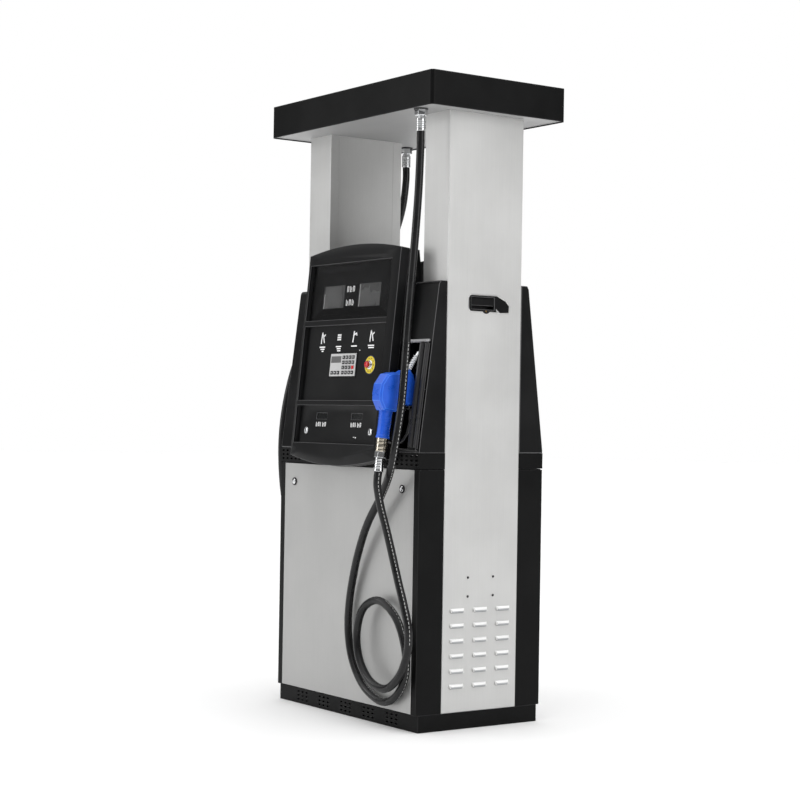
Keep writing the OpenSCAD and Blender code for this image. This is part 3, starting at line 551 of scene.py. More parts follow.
# %% Hose rubber
def print_dashes_group():
    """Marks the dashes of a printed line on a map with metres along u and turns along v."""
    inputs = {"Group": 1.31, "Bare": 0.55, "Dash": 0.013, "Inked": 0.60, "Breadth": 0.020}
    tree, given, out = new_group("print_dashes", inputs, "Print")
    where = add_node(tree, "ShaderNodeUVMap", {"uv_map": "along"}).outputs["UV"]
    apart = add_node(tree, "ShaderNodeSeparateXYZ", Vector=where).outputs

    def through(value, pitch):
        """How far a value is through its pitch, from 0 to 1."""
        return maths(tree, "FRACT", maths(tree, "DIVIDE", value, pitch))

    groups = maths(tree, "GREATER_THAN", through(apart["X"], given["Group"]), given["Bare"])
    dashes = maths(tree, "LESS_THAN", through(apart["X"], given["Dash"]), given["Inked"])
    aside = maths(tree, "ABSOLUTE", maths(tree, "SUBTRACT", through(apart["Y"], 0.5), 0.5))
    band = maths(tree, "LESS_THAN", aside, given["Breadth"])
    inked = maths(tree, "MULTIPLY", groups, dashes)
    feed(tree, out["Print"], maths(tree, "MULTIPLY", inked, band))
    return tree


def hose_rubber():
    """Glossy black rubber with faded white print."""
    material = surface("hose_rubber", (0.0055, 0.0055, 0.0060), 0.30, grain=0.12, scale=500,
                       marks=0.02, size=12, gleam=0.32)
    tree = material.node_tree
    colour = tree.nodes["Principled BSDF"].inputs["Base Color"]
    plain = colour.links[0].from_socket
    feed(tree, colour, mixed(tree, use(tree, print_dashes_group()), plain, (0.55, 0.55, 0.54, 1)))
    return material


HOSE_RUBBER = hose_rubber()


# %% Hose meshes
def hose_mesh(line, radius, sides):
    """A closed tube round a line, with its map; returns it and each vertex's distance along."""
    bm = bmesh.new()
    along_map = bm.loops.layers.uv.new("along")
    reach = far_along(line)
    across = Vector((1, 0, 0))
    rings = []
    for i, point in enumerate(line):
        ahead = (line[min(i + 1, len(line) - 1)] - line[max(i - 1, 0)]).normalized()
        across = (across - ahead * across.dot(ahead)).normalized()
        place = Matrix((across, ahead.cross(across), ahead)).transposed().to_4x4()
        place.translation = point
        ring = bmesh.ops.create_circle(bm, radius=radius, segments=sides, matrix=place)
        rings.append(ring["verts"])
    for i, (low, high) in enumerate(zip(rings, rings[1:])):
        for k in range(sides):
            m = (k + 1) % sides
            face = bm.faces.new((low[k], low[m], high[m], high[k]))
            corners = ((i, k), (i, k + 1), (i + 1, k + 1), (i + 1, k))
            for loop, (ring, turn) in zip(face.loops, corners):
                loop[along_map].uv = (reach[ring], turn / sides)
    bm.faces.new(rings[0])
    bm.faces.new(rings[-1])
    bmesh.ops.recalc_face_normals(bm, faces=bm.faces)
    bm.verts.index_update()
    places = {v.index: reach[i] for i, ring in enumerate(rings) for v in ring}
    return bm, [places[i] for i in range(len(bm.verts))]


def lay_hose(side, route):
    """A hose swept along its route, standing for the frame's hose."""
    line = smooth_line(route, 6)
    bm, reach = hose_mesh(line, HOSE_D / 2, 20)
    hose = piece(f"hose_{side}_rubber", bm, None, HOSE_RUBBER, [f"hose_{side}"])
    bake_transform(hose)
    total = far_along(line)[-1]
    print(f"hose {side}: {total:.3f} m long")
    return hose, line, total


HOSES = {"front": lay_hose("front", FRONT_ROUTE), "rear": lay_hose("rear", REAR_ROUTE)}

# %% [markdown]
# ## Fittings
# At the canopy each hose hangs from a black gasket, a hexagon, a neck and a crimped ferrule.
# At the nozzle the same ferrule meets a bright hexagon and a swivel of two bands. Ferrules
# are turned pieces, so they are spun from a profile; the hexagons are six-sided prisms whose
# edges are rounded.

# %% Fittings
FITTING = Vector((0.385, -0.245, 2.018))
NOZZLE_TILT = math.radians(7.5)
NOZZLE = Matrix.Translation((0.342, -0.365, 0.872)) @ Matrix.Rotation(-NOZZLE_TILT, 4, "X")
GROOVES, GROOVE = 4, 0.0007


def ferrule(low, high, radius):
    """A crimped sleeve: rolled ends and a row of shallow grooves."""
    profile = [(0.0, low), (radius - 0.0015, low), (radius, low + 0.0015)]
    pitch = (high - low - 0.012) / GROOVES
    for i in range(GROOVES):
        z = low + 0.008 + i * pitch
        profile += [(radius, z), (radius - GROOVE, z + 0.001), (radius - GROOVE, z + 0.0035),
                    (radius, z + 0.0045)]
    profile += [(radius, high - 0.003), (radius - 0.003, high), (0.0, high)]
    return lathe(profile, 40)


def hexagon(radius, low, high, round_by=0.0012):
    """A six-sided nut with rounded edges."""
    turns = [math.radians(60 * i) for i in range(6)]
    bm = prism([(radius * math.cos(t), radius * math.sin(t)) for t in turns], low, high)
    soften(bm, round_by, 3)
    return bm


def canopy_fitting():
    """Hexagon, neck ring and ferrule, with z = 0 at the hose's end."""
    nut = hexagon(0.0222, 0.046, 0.0665)
    neck = lathe([(0, 0.030), (0.0138, 0.030), (0.0162, 0.0325), (0.0162, 0.0375), (0.0142, 0.040),
                  (0.0142, 0.047), (0, 0.047)], 40)
    return joined(nut, neck, ferrule(-0.006, 0.0345, 0.01625))


AT_CANOPY = Matrix.Translation(FITTING)
gasket = lathe([(0, 0.0655), (0.0235, 0.0655), (0.0245, 0.067), (0.0245, 0.0695), (0, 0.0695)], 40)
on_both("canopy_fitting", canopy_fitting(), AT_CANOPY, "root", CHROME)
on_both("gasket", gasket, AT_CANOPY, "root", BELT_RUBBER)

# %% [markdown]
# The swivel turns on the nozzle's body, so it rides on its own body of the frame. The bands
# are warm nickel, the hexagon and the ferrule are bright.

# %% Swivels
bands = lathe([
    (0, 0.062), (0.0172, 0.062), (0.0186, 0.064), (0.0186, 0.0715), (0.0176, 0.073),
    (0.0176, 0.0745), (0.0188, 0.076), (0.0188, 0.0885), (0.0178, 0.0905), (0.0, 0.0905),
], 48)
nut = joined(hexagon(0.0205, 0.043, 0.0635), ferrule(-0.004, 0.0435, 0.0163))
on_both("swivel_bands", bands, NOZZLE, "nozzle_swivel_{}", NICKEL,
        ["nozzle_swivel_{}"])
on_both("swivel_nut", nut, NOZZLE, "nozzle_swivel_{}", CHROME)

# %% [markdown]
# The length of each hose, measured along its line, is printed when it is laid.

# %% [markdown]
# ## The nozzle
# The grip and the head of the nozzle wear a blue plastic cover. Its side outline is cut from
# a few straight stretches, its long edges are broad chamfers, and the grip below is a tube
# with a collar. A raised pad sits on each cheek. The outline is drawn once, given its
# thickness, and all its outer edges are bevelled.

# %% Nozzle cover
COVER_OUTLINE = [
    (-0.024, 0.200), (-0.045, 0.230), (-0.0485, 0.254), (-0.0465, 0.286), (-0.026, 0.322),
    (-0.003, 0.331), (0.030, 0.334), (0.046, 0.346), (0.062, 0.350), (0.080, 0.334),
    (0.099, 0.284), (0.098, 0.232), (0.046, 0.229), (0.031, 0.212), (0.024, 0.200),
]
COVER_HALF = 0.028
COVER_CHAMFER = 0.0062
GRIP_RINGS = 6
ON_SIDE = Matrix(((0, 0, 1, 0), (1, 0, 0, 0), (0, 1, 0, 0), (0, 0, 0, 1)))


def nozzle_cover():
    """The faceted head of the cover, its grip and the pads on its cheeks."""
    head = prism(COVER_OUTLINE, -COVER_HALF, COVER_HALF)
    rims = [e for e in head.edges if abs(e.verts[0].co.z - e.verts[1].co.z) < 1e-6]
    soften(head, COVER_CHAMFER, 1, edges=rims)
    corners = [e for e in head.edges if e.calc_face_angle() > math.radians(24)]
    # The corner strips get 0.6 in `edge`, so the finish paints a fainter highlight on them.
    layer = head.faces.layers.float.new("edge")
    made = soften(head, 0.0012, 2, edges=corners)
    for face in made["faces"]:
        face[layer] = 0.6
    whole = add_to(bmesh.new(), head, ON_SIDE)
    grip = lathe([
        (0.0, 0.1075), (0.0205, 0.1075), (0.0228, 0.1095), (0.0228, 0.1155), (0.0208, 0.1185),
        (0.0205, 0.150), (0.0212, 0.185), (0.0232, 0.206), (0.0236, 0.216), (0.0, 0.216),
    ], 12)
    bmesh.ops.scale(grip, vec=(1.0, 1.06, 1.0), verts=grip.verts)
    edges = [e for e in grip.edges if e.calc_face_angle() > math.radians(20)]
    soften(grip, 0.0016, 2, edges=edges)
    add_to(whole, grip)
    for x in (-1, 1):
        pad = block((-0.0015, 0.010, 0.240), (0.0015, 0.024, 0.276), 0.0012, 2)
        add_to(whole, pad, Matrix.Translation((x * COVER_HALF, 0.004, 0)))
    for i in range(GRIP_RINGS):
        ring = lathe([(0.0204, -0.0012), (0.0222, 0.0), (0.0204, 0.0012), (0.0190, 0.0)], 24,
                     closed=True)
        add_to(whole, ring, Matrix.Translation((0, 0.0006, 0.126 + i * 0.011)))
    return whole


sleeve = lathe([
    (0.0152, 0.0912), (0.0184, 0.0912), (0.0192, 0.0922), (0.0192, 0.1000), (0.0186, 0.1010),
    (0.0192, 0.1020), (0.0192, 0.1090), (0.0152, 0.1090),
], 48, closed=True)
on_both("nozzle_jacket", nozzle_cover(), NOZZLE, "nozzle_{}", COVER_BLUE,
        ["nozzle_cover_{}"], sharp=28)
on_both("nozzle_sleeve", sleeve, NOZZLE, "nozzle_{}", NICKEL)
for side, _ in SIDES:
    rounded(f"nozzle_body_{side}", f"nozzle_{side}", DARK_CASTING, 0.0008)
    rounded(f"nozzle_lever_{side}", f"nozzle_lever_{side}", TRIGGER_STEEL, 0.0006)

# %% [markdown]
# The spout is a bright tube with a coil spring round its root. The coil is
# a row of rings in the frame; here it is a real helix, swept with small rings in the same
# way as the hose.

# %% Spout
SPOUT_LEAN = math.radians(-25.8)
SPOUT = NOZZLE @ Matrix.Translation((0, 0.062, 0.320)) @ Matrix.Rotation(SPOUT_LEAN, 4, "X")
SPOUT_R = 0.0115


def tube_along(line, radius, sides):
    """A closed tube round a line."""
    return hose_mesh(line, radius, sides)[0]


def spring(radius, wire, low, high, turns):
    """A coil of round wire."""
    count = turns * 28
    line = []
    for i in range(count + 1):
        angle = 2 * math.pi * turns * i / count
        rise = low + (high - low) * i / count
        line.append(Vector((radius * math.cos(angle), radius * math.sin(angle), rise)))
    return tube_along(line, wire, 10)


tube = lathe([
    (0.0095, 0.004), (SPOUT_R, 0.004), (SPOUT_R, 0.0965), (SPOUT_R - 0.0004, 0.1035),
    (SPOUT_R - 0.0012, 0.104), (0.0096, 0.1035),
], 40, closed=True)
coil = spring(SPOUT_R + 0.0016, 0.0021, 0.020, 0.086, 9)
on_both("spout", joined(tube, coil), SPOUT, "nozzle_{}", CHROME,
        ["nozzle_spout_{}"])

# %% [markdown]
# ## The face of the head
# The head door leans back, so its details are drawn flat, with x across, y up the slope and
# z out of it, and then stood up by one matrix. The floor of each recess is six millimetres
# behind the door's edge. Printed marks are plates four tenths of a millimetre thick: short
# bars for captions and plain pictograms, with no lettering.

# %% Head measures
HEAD_LEAN = math.radians(5.8)
HEAD = Matrix.Translation((0, -0.320, 0.909)) @ Matrix.Rotation(math.pi / 2 - HEAD_LEAN, 4, "X")
FLOOR = -0.006
INK = 0.0004
WINDOWS = ((-0.112, 0.066, 0.530, 0.609), (0.112, 0.066, 0.530, 0.609))
PRICE_WINDOWS = ((-0.111, 0.034, 0.132, 0.153), (0.111, 0.034, 0.132, 0.153))


def on_door(name, part, finish, stands_for=(), body="head_door_{}"):
    """Makes a piece drawn on the head's plane for both doors."""
    on_both(name, part, HEAD, body, finish, stands_for)


def bar(x, y, width, height, base=FLOOR, thick=INK):
    """A printed bar with its middle at x, y."""
    low = (x - width / 2, y - height / 2, base)
    return block(low, (x + width / 2, y + height / 2, base + thick))


def stroke(x0, y0, x1, y1, width):
    """A printed stroke between two points."""
    length = math.hypot(x1 - x0, y1 - y0)
    part = block((0, -width / 2, FLOOR), (length, width / 2, FLOOR + INK))
    turn = Matrix.Rotation(math.atan2(y1 - y0, x1 - x0), 4, "Z")
    return placed(part, Matrix.Translation((x0, y0, 0)) @ turn)


# %% Displays and prints
def display_panels(windows):
    """The liquid-crystal panels, seen through the windows in the door's floor."""
    return joined(*[
        block((x - half, low, FLOOR - 0.0045), (x + half, high, FLOOR - 0.0025), 0.0003)
        for x, half, low, high in windows
    ])


def word(x, y, letters, height):
    """A caption of generic blocks: uprights joined by a short bar each, never a letter."""
    parts = []
    pitch = height * 0.86
    for i, kind in enumerate(letters):
        left = x + (i - len(letters) / 2) * pitch
        stem = height * 0.17
        parts.append(bar(left + stem, y, stem, height))
        if kind:
            tall, offset = (0.55, -0.42) if kind == 1 else (0.9, 0.42)
            parts.append(bar(left + pitch * 0.62, y, stem, height * tall))
            parts.append(bar(left + pitch * 0.40, y + height * offset, pitch * 0.42, stem))
    return parts


def pictogram(x, y, kind):
    """Four plain signs: lift the nozzle, choose, fill, and hang it up again."""
    if kind == "keys":
        steps = (-0.008, 0.0, 0.008)
        return [bar(x + dx, y + dy, 0.0062, 0.0062) for dx in steps for dy in steps]
    parts = [stroke(x - 0.010, y - 0.020, x - 0.006, y + 0.020, 0.0055)]
    if kind == "fill":
        parts += [stroke(x - 0.006, y + 0.006, x + 0.008, y + 0.012, 0.0055),
                  stroke(x + 0.008, y + 0.014, x + 0.012, y + 0.004, 0.005)]
    else:
        parts += [stroke(x - 0.006, y + 0.020, x + 0.002, y + 0.004, 0.0035),
                  stroke(x + 0.002, y + 0.004, x + 0.014, y + 0.012, 0.0045),
                  stroke(x + 0.002, y + 0.004, x + 0.010, y - 0.018, 0.0050),
                  stroke(x - 0.012, y - 0.018, x - 0.006, y - 0.018, 0.006)]
    return parts


SIGNS = (
    (-0.154, "lift", (0.036, 0.026, 0.012)), (-0.049, "keys", (0.034, 0.024, 0.020)),
    (0.049, "fill", (0.036,)), (0.154, "lift", (0.038, 0.034)),
)


def face_prints():
    """Every printed mark on the door's floor."""
    parts = word(-0.004, 0.594, (2, 1, 2), 0.021) + word(-0.004, 0.546, (1, 2, 1), 0.021)
    for x, kind, rows in SIGNS:
        parts += pictogram(x, 0.423, kind)
        for i, width in enumerate(rows):
            parts.append(bar(x + 0.002 * i, 0.390 - 0.0075 * i, width, 0.0042))
    for x, *_ in PRICE_WINDOWS:
        parts += word(x, 0.113, (1, 2, 0, 1, 2), 0.016)
    parts += [bar(0.104, 0.070, 0.008, 0.002), bar(0.115, 0.069, 0.006, 0.004)]
    parts.append(bar(0.088, 0.374, 0.005, 0.003))
    return joined(*parts)


STRIP_HEIGHTS = (0.052, 0.079)
strips = [
    block((x - half + 0.001, low, FLOOR - 0.0026), (x - half + 0.0042, low + tall, FLOOR - 0.0018),
          0.0002)
    for (x, half, low, _), tall in zip(WINDOWS, STRIP_HEIGHTS)
]
on_door("display_glass", display_panels(WINDOWS), LCD_GREY)
on_door("display_edges", joined(*strips), KEYPAD_SILVER)
on_door("price_glass", display_panels(PRICE_WINDOWS), LCD_DIM)
on_door("face_print", face_prints(), PRINT_WHITE)

# %% [markdown]
# The keypad is a silver membrane with its own small display, black keys in four columns, a
# row along the foot and one red key. The keys are low rounded blocks with a paler mark on
# each.

# %% Keypad
KEYPAD_X, KEYPAD_Y = -0.007, 0.284
KEY_W, KEY_H = 0.0145, 0.0125
KEY_TOP = FLOOR + 0.0047
KEY_COLUMNS, KEY_ROWS = [0.004 + 0.020 * i for i in range(4)], [0.0125 + 0.018 * i for i in range(4)]
FOOT_KEYS = [-0.064 + 0.020 * i for i in range(3)]
RED_KEY = (KEY_COLUMNS[3], KEY_ROWS[1])
PLACES = [(x, y) for x in KEY_COLUMNS for y in KEY_ROWS] + [(x, KEY_ROWS[0]) for x in FOOT_KEYS]
BLACK_KEYS = [place for place in PLACES if place != RED_KEY]
KEYPAD = Matrix.Translation((KEYPAD_X, KEYPAD_Y, 0))
FRAME_BARS = ((0, -0.003, 0.172, 0.004), (0, 0.083, 0.172, 0.004),
              (-0.084, 0.040, 0.004, 0.082), (0.084, 0.040, 0.004, 0.082))


def key(x, y):
    """One key, a little higher than the membrane."""
    low = (x - KEY_W / 2, y - KEY_H / 2, FLOOR + 0.0028)
    return block(low, (x + KEY_W / 2, y + KEY_H / 2, KEY_TOP), 0.0009)


def on_keypad(name, parts, finish, stands_for=()):
    """Makes a piece of parts drawn from the middle of the keypad's lower edge."""
    on_door(name, placed(joined(*parts), KEYPAD), finish, stands_for)


plate = block((-0.080, 0, FLOOR), (0.080, 0.080, FLOOR + 0.003), 0.0006)
small = block((-0.075, 0.048, FLOOR + 0.0028), (-0.012, 0.071, FLOOR + 0.0036), 0.0004)
dots = [bar(x + dx, y, 0.0012, 0.005, KEY_TOP, 0.0001) for x, y in BLACK_KEYS for dx in (-0.002, 0.002)]
on_keypad("keypad_plate", [plate], KEYPAD_SILVER, ["keypad_{}"])
on_keypad("keypad_keys", [key(x, y) for x, y in BLACK_KEYS], KEY_BLACK)
on_keypad("keypad_red_key", [key(*RED_KEY)], STOP_RED)
on_keypad("key_marks", dots, PRINT_WHITE)
on_keypad("keypad_display", [small], LCD_GREY)
on_keypad("keypad_frame", [bar(*place, FLOOR, 0.0015) for place in FRAME_BARS], MOULDED_BLACK)

# %% [markdown]
# The stop button is a red mushroom in a bright collar, on a yellow disc with a dark blue
# rim. All of it is turned, so each part is spun from its profile.

# %% Stop button
STOP = Matrix.Translation((0.161, 0.322, FLOOR))
RIM = [(0.0285, 0), (0.033, 0), (0.033, 0.0012), (0.0325, 0.0016), (0.0285, 0.0016)]
DISC = [(0.0155, 0.0), (0.0302, 0.0), (0.0302, 0.0017), (0.0296, 0.0021), (0.0155, 0.0021)]
COLLAR = [(0.0097, 0.0), (0.0158, 0.0), (0.0158, 0.0034), (0.0146, 0.0048), (0.0126, 0.0058),
          (0.0097, 0.0058)]
STEM = [(0.0088, -0.011), (0.0094, -0.011), (0.0094, 0.0113), (0.0088, 0.0113)]
MUSHROOM = [(0, -0.012), (0.009, -0.012), (0.009, 0.0112), (0.0116, 0.0114), (0.0122, 0.0126),
            (0.0120, 0.0160), (0.0104, 0.0184), (0.0070, 0.0194), (0, 0.0197)]


def turned_on_door(name, profile, finish, stands_for=(), body="head_door_{}", closed=True):
    """A spun piece on the stop button's axis."""
    on_door(name, placed(lathe(profile, 56, closed), STOP), finish, stands_for, body)


turned_on_door("stop_rim", RIM, RIM_BLUE, ["stop_base_{}"])
turned_on_door("stop_disc", DISC, STOP_YELLOW)
turned_on_door("stop_collar", COLLAR, CHROME)
turned_on_door("stop_stem", STEM, CHROME, body="stop_button_{}")
turned_on_door("stop_mushroom", MUSHROOM, STOP_RED, ["stop_button_{}"],
               "stop_button_{}", closed=False)
dashes = [placed(bar(0.0232, 0, 0.0022, 0.0072, 0.0021, 0.0001),
                 STOP @ Matrix.Rotation(math.radians(36 * i), 4, "Z")) for i in range(10)]
on_door("stop_dashes", joined(*dashes), RIM_BLUE)

# %% [markdown]
# ## Locks
# The head's two locks are chrome, the lower doors' are black rims with a chrome core. Each
# is a rounded copy of its part, with a turned bezel round a key slot added on its face.

# %% Locks
for place, finish in (("head", CHROME), ("door", KEY_BLACK)):
    for corner in ("fl", "fr", "rl", "rr"):
        node = f"{place}_lock_{corner}"
        rounded(node, node, finish, 0.0006)


def lock_core(radius):
    """A key cylinder with a slot and a small wing."""
    core = lathe([
        (0.0, 0.0), (radius, 0.0), (radius, 0.0012), (radius * 0.88, 0.0020),
        (radius * 0.55, 0.0020), (radius * 0.48, 0.0012), (0.0, 0.0012),
    ], 36)
    slot = block((-0.0009, -radius * 0.42, 0.001), (0.0009, radius * 0.42, 0.0021), 0.0002)
    return joined(core, slot)


DOOR_LOCK = Matrix.Translation((0, -0.2681, 0.809)) @ Matrix.Rotation(math.pi / 2, 4, "X")
HEAD_LOCK = HEAD @ Matrix.Translation((0, 0.090, FLOOR + 0.003))
for name, radius, place, out in (("door_lock", 0.0098, DOOR_LOCK, 0.340),
                                 ("head_lock", 0.0100, HEAD_LOCK, 0.203)):
    for hand, x in (("l", -out), ("r", out)):
        on_both(f"{name}_core", lock_core(radius), Matrix.Translation((x, 0, 0)) @ place,
                name + "_{}", CHROME,
                sides=[(side[0] + hand, turn) for side, turn in SIDES])

# %% [markdown]
# ## Everything that keeps its own mesh
# The rest of the frame's parts have the right shape already, so they only get a finish.

# %% Plain finishes
LENS_COVERAGE = 0.14


def clear_lens():
    """Thin smoked acrylic, almost clear: a sheet this thin doesn't bend what lies behind it."""
    material = surface("clear_lens", (0.02, 0.02, 0.021), 0.06, spread=0.02, marks=0.0, specks=0.0)
    material.node_tree.nodes["Principled BSDF"].inputs["Alpha"].default_value = LENS_COVERAGE
    return material


LENS = clear_lens()
PLAIN = {
    "inner_frame": POWDER_BLACK, "end_covers": COVER_STEEL, "vent_band": POWDER_BLACK,
    "boot_lever_front": TRIGGER_STEEL, "boot_lever_rear": TRIGGER_STEEL, "motor": MOTOR_PAINT,
    "motor_pulley": CASTING, "pump_pulley": CASTING, "pump_unit": PUMP_IRON,
    "drive_belt": BELT_RUBBER, "flow_meters": CASTING, "pipework": ZINC,
    "electronics": BOARD_GREEN, "displays_front": DARK_BOARD, "displays_rear": DARK_BOARD,
    "display_lens_front": LENS, "display_lens_rear": LENS,
}
for name, finish in PLAIN.items():
    mesh = NODES[name].data
    mesh.materials.clear()
    mesh.materials.append(finish)

# %% [markdown]
# ## Latches
# Each end cover has a recessed black latch in a pressed surround. The surround is painted near
# white, a painted highlight for the light its raised band catches. The dish and its lever
# are rounded copies; the surround is the dish's outline, inset to a band and raised; a small
# brass key cylinder sits in the belly of the dish.

# %% Latches
SHEET_X = 0.435
LATCH_Z = 1.442
SURROUND_R, SURROUND_BAND, SURROUND_RISE = 0.0125, 0.0036, 0.0022
WING = [(0.0525, 0.0295), (0.0925, 0.0125), (0.1065, -0.0040), (0.1055, -0.0295),
        (0.0645, -0.0322), (0.0500, -0.0215), (0.0500, -0.0295)]
LATCH_KEY = (0.006, -0.026, -0.0016)
rounded("latch_dishes", "root", MOULDED_BLACK, 0.0012, 3)
for hand, _ in ENDS:
    rounded(f"latch_lever_{hand}", f"latch_lever_{hand}", MOULDED_BLACK, 0.0010, 3)


def arc(x, y, radius, start, stop, count):
    """Points along an arc, its angles in degrees."""
    turns = [math.radians(start + (stop - start) * i / count) for i in range(count + 1)]
    return [(x + radius * math.cos(t), y + radius * math.sin(t)) for t in turns]


def latch_surround():
    """A raised band round the dish, drawn with x to the right and y up."""
    outline = (
        arc(-0.056, -0.017, SURROUND_R, 270, 180, 6) + arc(-0.056, 0.017, SURROUND_R, 180, 90, 6)
        + WING + arc(0.006, -0.014, 0.0225, -43.5, -136.5, 8)
    )
    bm = bmesh.new()
    face = bm.faces.new([bm.verts.new((x, y, 0)) for x, y in outline])
    bmesh.ops.inset_region(bm, faces=[face], thickness=SURROUND_BAND, use_even_offset=True,
                           use_boundary=True)
    bmesh.ops.delete(bm, geom=[face], context="FACES_ONLY")
    grown = bmesh.ops.extrude_face_region(bm, geom=list(bm.faces))["geom"]
    rise = [v for v in grown if isinstance(v, bmesh.types.BMVert)]
    bmesh.ops.translate(bm, vec=(0, 0, SURROUND_RISE), verts=rise)
    bmesh.ops.recalc_face_normals(bm, faces=bm.faces)
    soften(bm, 0.0005, 2, angle=50)
    return bm


# The end cover's plane: x runs along Y, y runs up, and z comes out of the sheet.
ON_END = Matrix.Translation((SHEET_X, 0, 0)) @ ON_SIDE
AT_LATCH = ON_END @ Matrix.Translation((0, LATCH_Z, 0))
on_both("latch_surround", latch_surround(), AT_LATCH, "root", SHEET_HIGHLIGHT,
        sharp=30, sides=ENDS)
on_both("latch_key", lock_core(0.0032), AT_LATCH @ Matrix.Translation(LATCH_KEY), "root", BRASS,
        sides=ENDS)

# %% [markdown]
# ## Louvres and rivets
# The end covers are pressed with three columns of six louvres, open below, and four small
# rivets sit above them. A louvre is drawn from the side as a quarter round that ends in a
# straight lip, its ends are pulled in towards the sheet, and its rims are rounded. Light and
# shade are painted on them: the scoop is a lighter steel for the light on its upper slope,
# the lip a darker zinc for its shade, and a grey bar on the sheet below is a painted shadow.

# %% Louvres
SCOOP_PROFILE = [(0.0, 0.0076), (0.0036, 0.0064), (0.0062, 0.0034), (0.0076, -0.0012),
                 (0.0, -0.0012)]
LIP_PROFILE = [(0.0, -0.0012), (0.0076, -0.0012), (0.0080, -0.0058), (0.0074, -0.0062),
               (0.0, -0.0062)]
RIVET_PROFILE = [(0, 0.0), (0.0042, 0.0), (0.0042, 0.0014), (0.0034, 0.0024), (0.0018, 0.0029),
                 (0, 0.0030)]
LOUVRE_HALF = 0.0300
LOUVRE_COLUMNS = (-0.098, 0.0, 0.098)
LOUVRE_ROWS = [0.146 + 0.051 * i for i in range(6)]
RIVETS = [(y, z) for y in (-0.054, 0.054) for z in (0.447, 0.511)]


def pressed(profile):
    """A pressed scoop or lip on a sheet that lies at z = 0, with x along it and y up."""
    bm = prism(profile, -LOUVRE_HALF, LOUVRE_HALF)
    for v in bm.verts:
        v.co = Vector((v.co.z * (1 - 30 * v.co.x), v.co.y, v.co.x - 0.0006))
    bmesh.ops.recalc_face_normals(bm, faces=bm.faces)
    ends = [e for e in bm.edges if abs(e.verts[0].co.x + e.verts[1].co.x) > LOUVRE_HALF
            and min(v.co.z for v in e.verts) > 0]
    soften(bm, 0.0005, 2, edges=ends)
    return bm


# Each louvre is a scoop painted lighter for the light on its upper slope, a lip in darker zinc for
# painted shade, and a grey bar of painted shadow on the sheet below.
scoops, shaded_lips, shadow_bars, rivets = (bmesh.new() for _ in range(4))
for y in LOUVRE_COLUMNS:
    for z in LOUVRE_ROWS:
        place = Matrix.Translation((y, z, 0))
        shadow_bar = block((-0.026, -0.0086, -0.0003), (0.026, -0.0058, 0.0004), 0.0001, 1)
        add_to(scoops, pressed(SCOOP_PROFILE), place)
        add_to(shaded_lips, pressed(LIP_PROFILE), place)
        add_to(shadow_bars, shadow_bar, place)
for y, z in RIVETS:
    add_to(rivets, lathe(RIVET_PROFILE, 20), Matrix.Translation((y, z, 0)))
for name, part, finish, sharp in (
        ("louvres", scoops, LOUVRE_STEEL_HIGHLIGHT, 48), ("louvre_shaded_lips", shaded_lips, ZINC, 48),
        ("louvre_shadow_bars", shadow_bars, PUMP_IRON, 40), ("cover_rivets", rivets, DARK_CASTING, 40)):
    on_both(name, part, ON_END, "root", finish, sharp=sharp, sides=ENDS)

# %% [markdown]
# ## Seams of the columns
# A column is folded from sheet, and its cladding meets the inner face in two narrow welts
# that run from the head to the canopy.

# %% Column welts
WELT_Y, WELT_HALF = 0.122, 0.0014
WELT_LOW, WELT_HIGH = 1.52, 2.0835
welts = [
    block((COLUMN_IN - 0.0009, y - WELT_HALF, WELT_LOW), (COLUMN_IN + 0.0004, y + WELT_HALF, WELT_HIGH),
          0.0004)
    for y in (-WELT_Y, WELT_Y)
]
on_both("column_welts", joined(*welts), FRONT, "root", COVER_STEEL, sides=ENDS)

# %% [markdown]
# ## The mouth of the nozzle boot
# Beside the nozzle's recess the hood swells into a cheek with two tall half-round ribs,
# and a raised lip crosses the top of the recess. The cheek and its ribs are painted a lighter
# black and the lip a pale grey, as painted highlights for the light on them. The cheek is a
# slice of the hood's side profile, the ribs are tubes along that profile, half sunk in it.

# %% Boot cheeks, ribs and lips
HOOD_KNOTS = ((0.860, 0.0), (0.942, 0.0), (1.160, 0.027), (1.344, 0.052), (1.500, 0.072))
CHEEK_HEIGHTS = (0.9455, 1.050, 1.160, 1.300)
CHEEK_LEFT, CHEEK_RIGHT = 0.3812, 0.4312
PROUD, SUNK = 0.0078, 0.0040
RIBS = ((0.3950, 0.0118), (0.4190, 0.0070))
LIP_Z = 1.309


def hood_front(z):
    """How far forward the hood's face lies at a height."""
    for (z0, back0), (z1, back1) in zip(HOOD_KNOTS, HOOD_KNOTS[1:]):
        if z <= z1:
            return -BAND_Y + back0 + (back1 - back0) * (z - z0) / (z1 - z0)
    return -BAND_Y + HOOD_KNOTS[-1][1]


def rib(x, radius, low, high):
    """A tall rib that follows the hood."""
    heights = [low + (high - low) * i / 24 for i in range(25)]
    return tube_along([Vector((x, hood_front(z) - PROUD, z)) for z in heights], radius, 24)


outline = ([(hood_front(z) - PROUD, z) for z in CHEEK_HEIGHTS]
           + [(hood_front(z) - SUNK, z) for z in reversed(CHEEK_HEIGHTS)])
cheek = prism(outline, CHEEK_LEFT, CHEEK_RIGHT)
soften(cheek, 0.0012, 2, angle=40)
ribs = [rib(x, radius, 0.949, 1.300) for x, radius in RIBS]
lip = block((0.299, hood_front(LIP_Z) - 0.0125, LIP_Z - 0.0055),
            (0.4235, hood_front(LIP_Z) + 0.004, LIP_Z + 0.0055), 0.0048, 4)
on_both("boot_cheek", joined(placed(cheek, ON_SIDE), *ribs), FRONT, "root", RIB_BLACK_HIGHLIGHT,
        sharp=50)
on_both("boot_lip", lip, FRONT, "root", LIP_HIGHLIGHT, sharp=50)

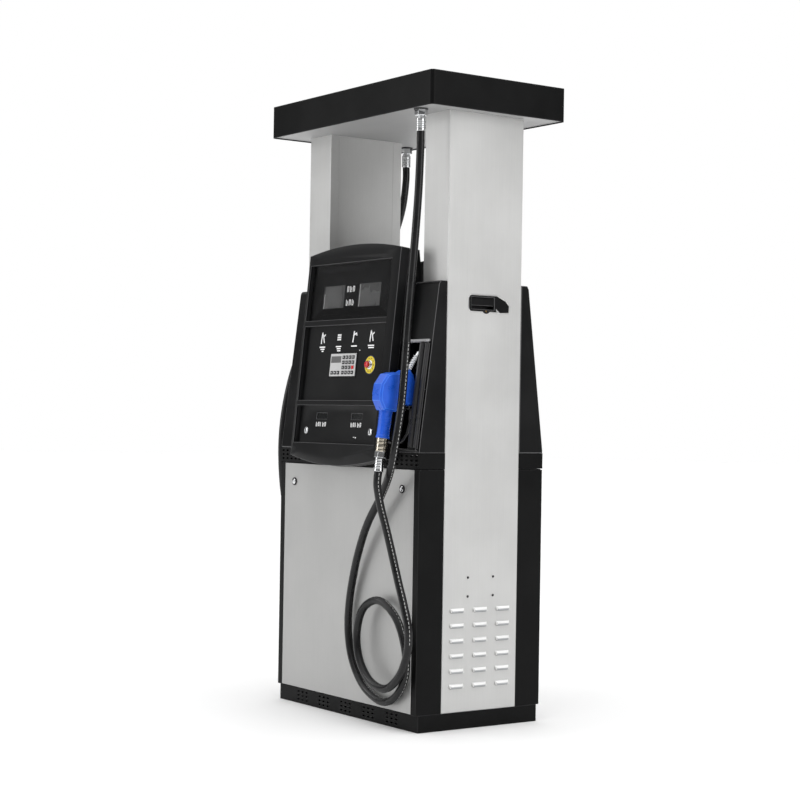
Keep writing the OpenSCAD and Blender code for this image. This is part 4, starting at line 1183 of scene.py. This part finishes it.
# %% [markdown]
# ## The studio
# A pale floor and soft light from above, from the right and from the front. The backdrop
# is white to the camera and dimmer to everything else, so that black parts stay black.

# %% Floor and lights
def studio_floor():
    """A wide pale floor."""
    bm = bmesh.new()
    bmesh.ops.create_circle(bm, cap_ends=True, radius=40, segments=64)
    mesh = bpy.data.meshes.new("floor")
    bm.to_mesh(mesh)
    bm.free()
    made = bpy.data.objects.new("floor", mesh)
    scene.collection.objects.link(made)
    mesh.materials.append(surface("floor_white", (0.90, 0.90, 0.90), 0.7, marks=0.0))


def soft_light(name, place, aim, size, power):
    """A square area light that faces a point."""
    lamp = bpy.data.lights.new(name, "AREA")
    lamp.shape = "RECTANGLE"
    lamp.size, lamp.size_y = size
    lamp.energy = power
    made = bpy.data.objects.new(name, lamp)
    made.location = place
    made.rotation_mode = "QUATERNION"
    made.rotation_quaternion = (Vector(aim) - Vector(place)).to_track_quat("-Z", "Y")
    scene.collection.objects.link(made)


studio_floor()
soft_light("key", (5.0, 1.2, 2.6), (0, 0, 1.1), (2.2, 2.8), 62)
soft_light("front", (-3.2, -5.2, 2.6), (0, 0, 1.1), (2.4, 2.6), 75)


def studio_sky(strength_low, strength_high):
    """A sky that is bright overhead and dim at the horizon, and plain white to the camera."""
    world = bpy.data.worlds.new("studio")
    scene.world = world
    world.use_nodes = True
    tree = world.node_tree
    tree.nodes.clear()
    place = add_node(tree, "ShaderNodeTexCoord").outputs["Generated"]
    height = add_node(tree, "ShaderNodeSeparateXYZ", Vector=place).outputs["Z"]
    strength = ranged(tree, height, strength_low, strength_high, "SMOOTHSTEP",
                      From_Min=0.15, From_Max=0.95)
    seen = add_node(tree, "ShaderNodeBackground", Color=(1, 1, 1, 1), Strength=1.0)
    felt = add_node(tree, "ShaderNodeBackground", Color=(1, 1, 1, 1), Strength=strength)
    rays = add_node(tree, "ShaderNodeLightPath")
    mix = add_node(tree, "ShaderNodeMixShader", Fac=rays.outputs["Is Camera Ray"])
    feed(tree, mix.inputs[1], felt.outputs[0])
    feed(tree, mix.inputs[2], seen.outputs[0])
    add_node(tree, "ShaderNodeOutputWorld", Surface=mix.outputs[0])


studio_sky(0.16, 1.75)
scene.view_settings.view_transform = "Standard"
scene.view_settings.look = "None"
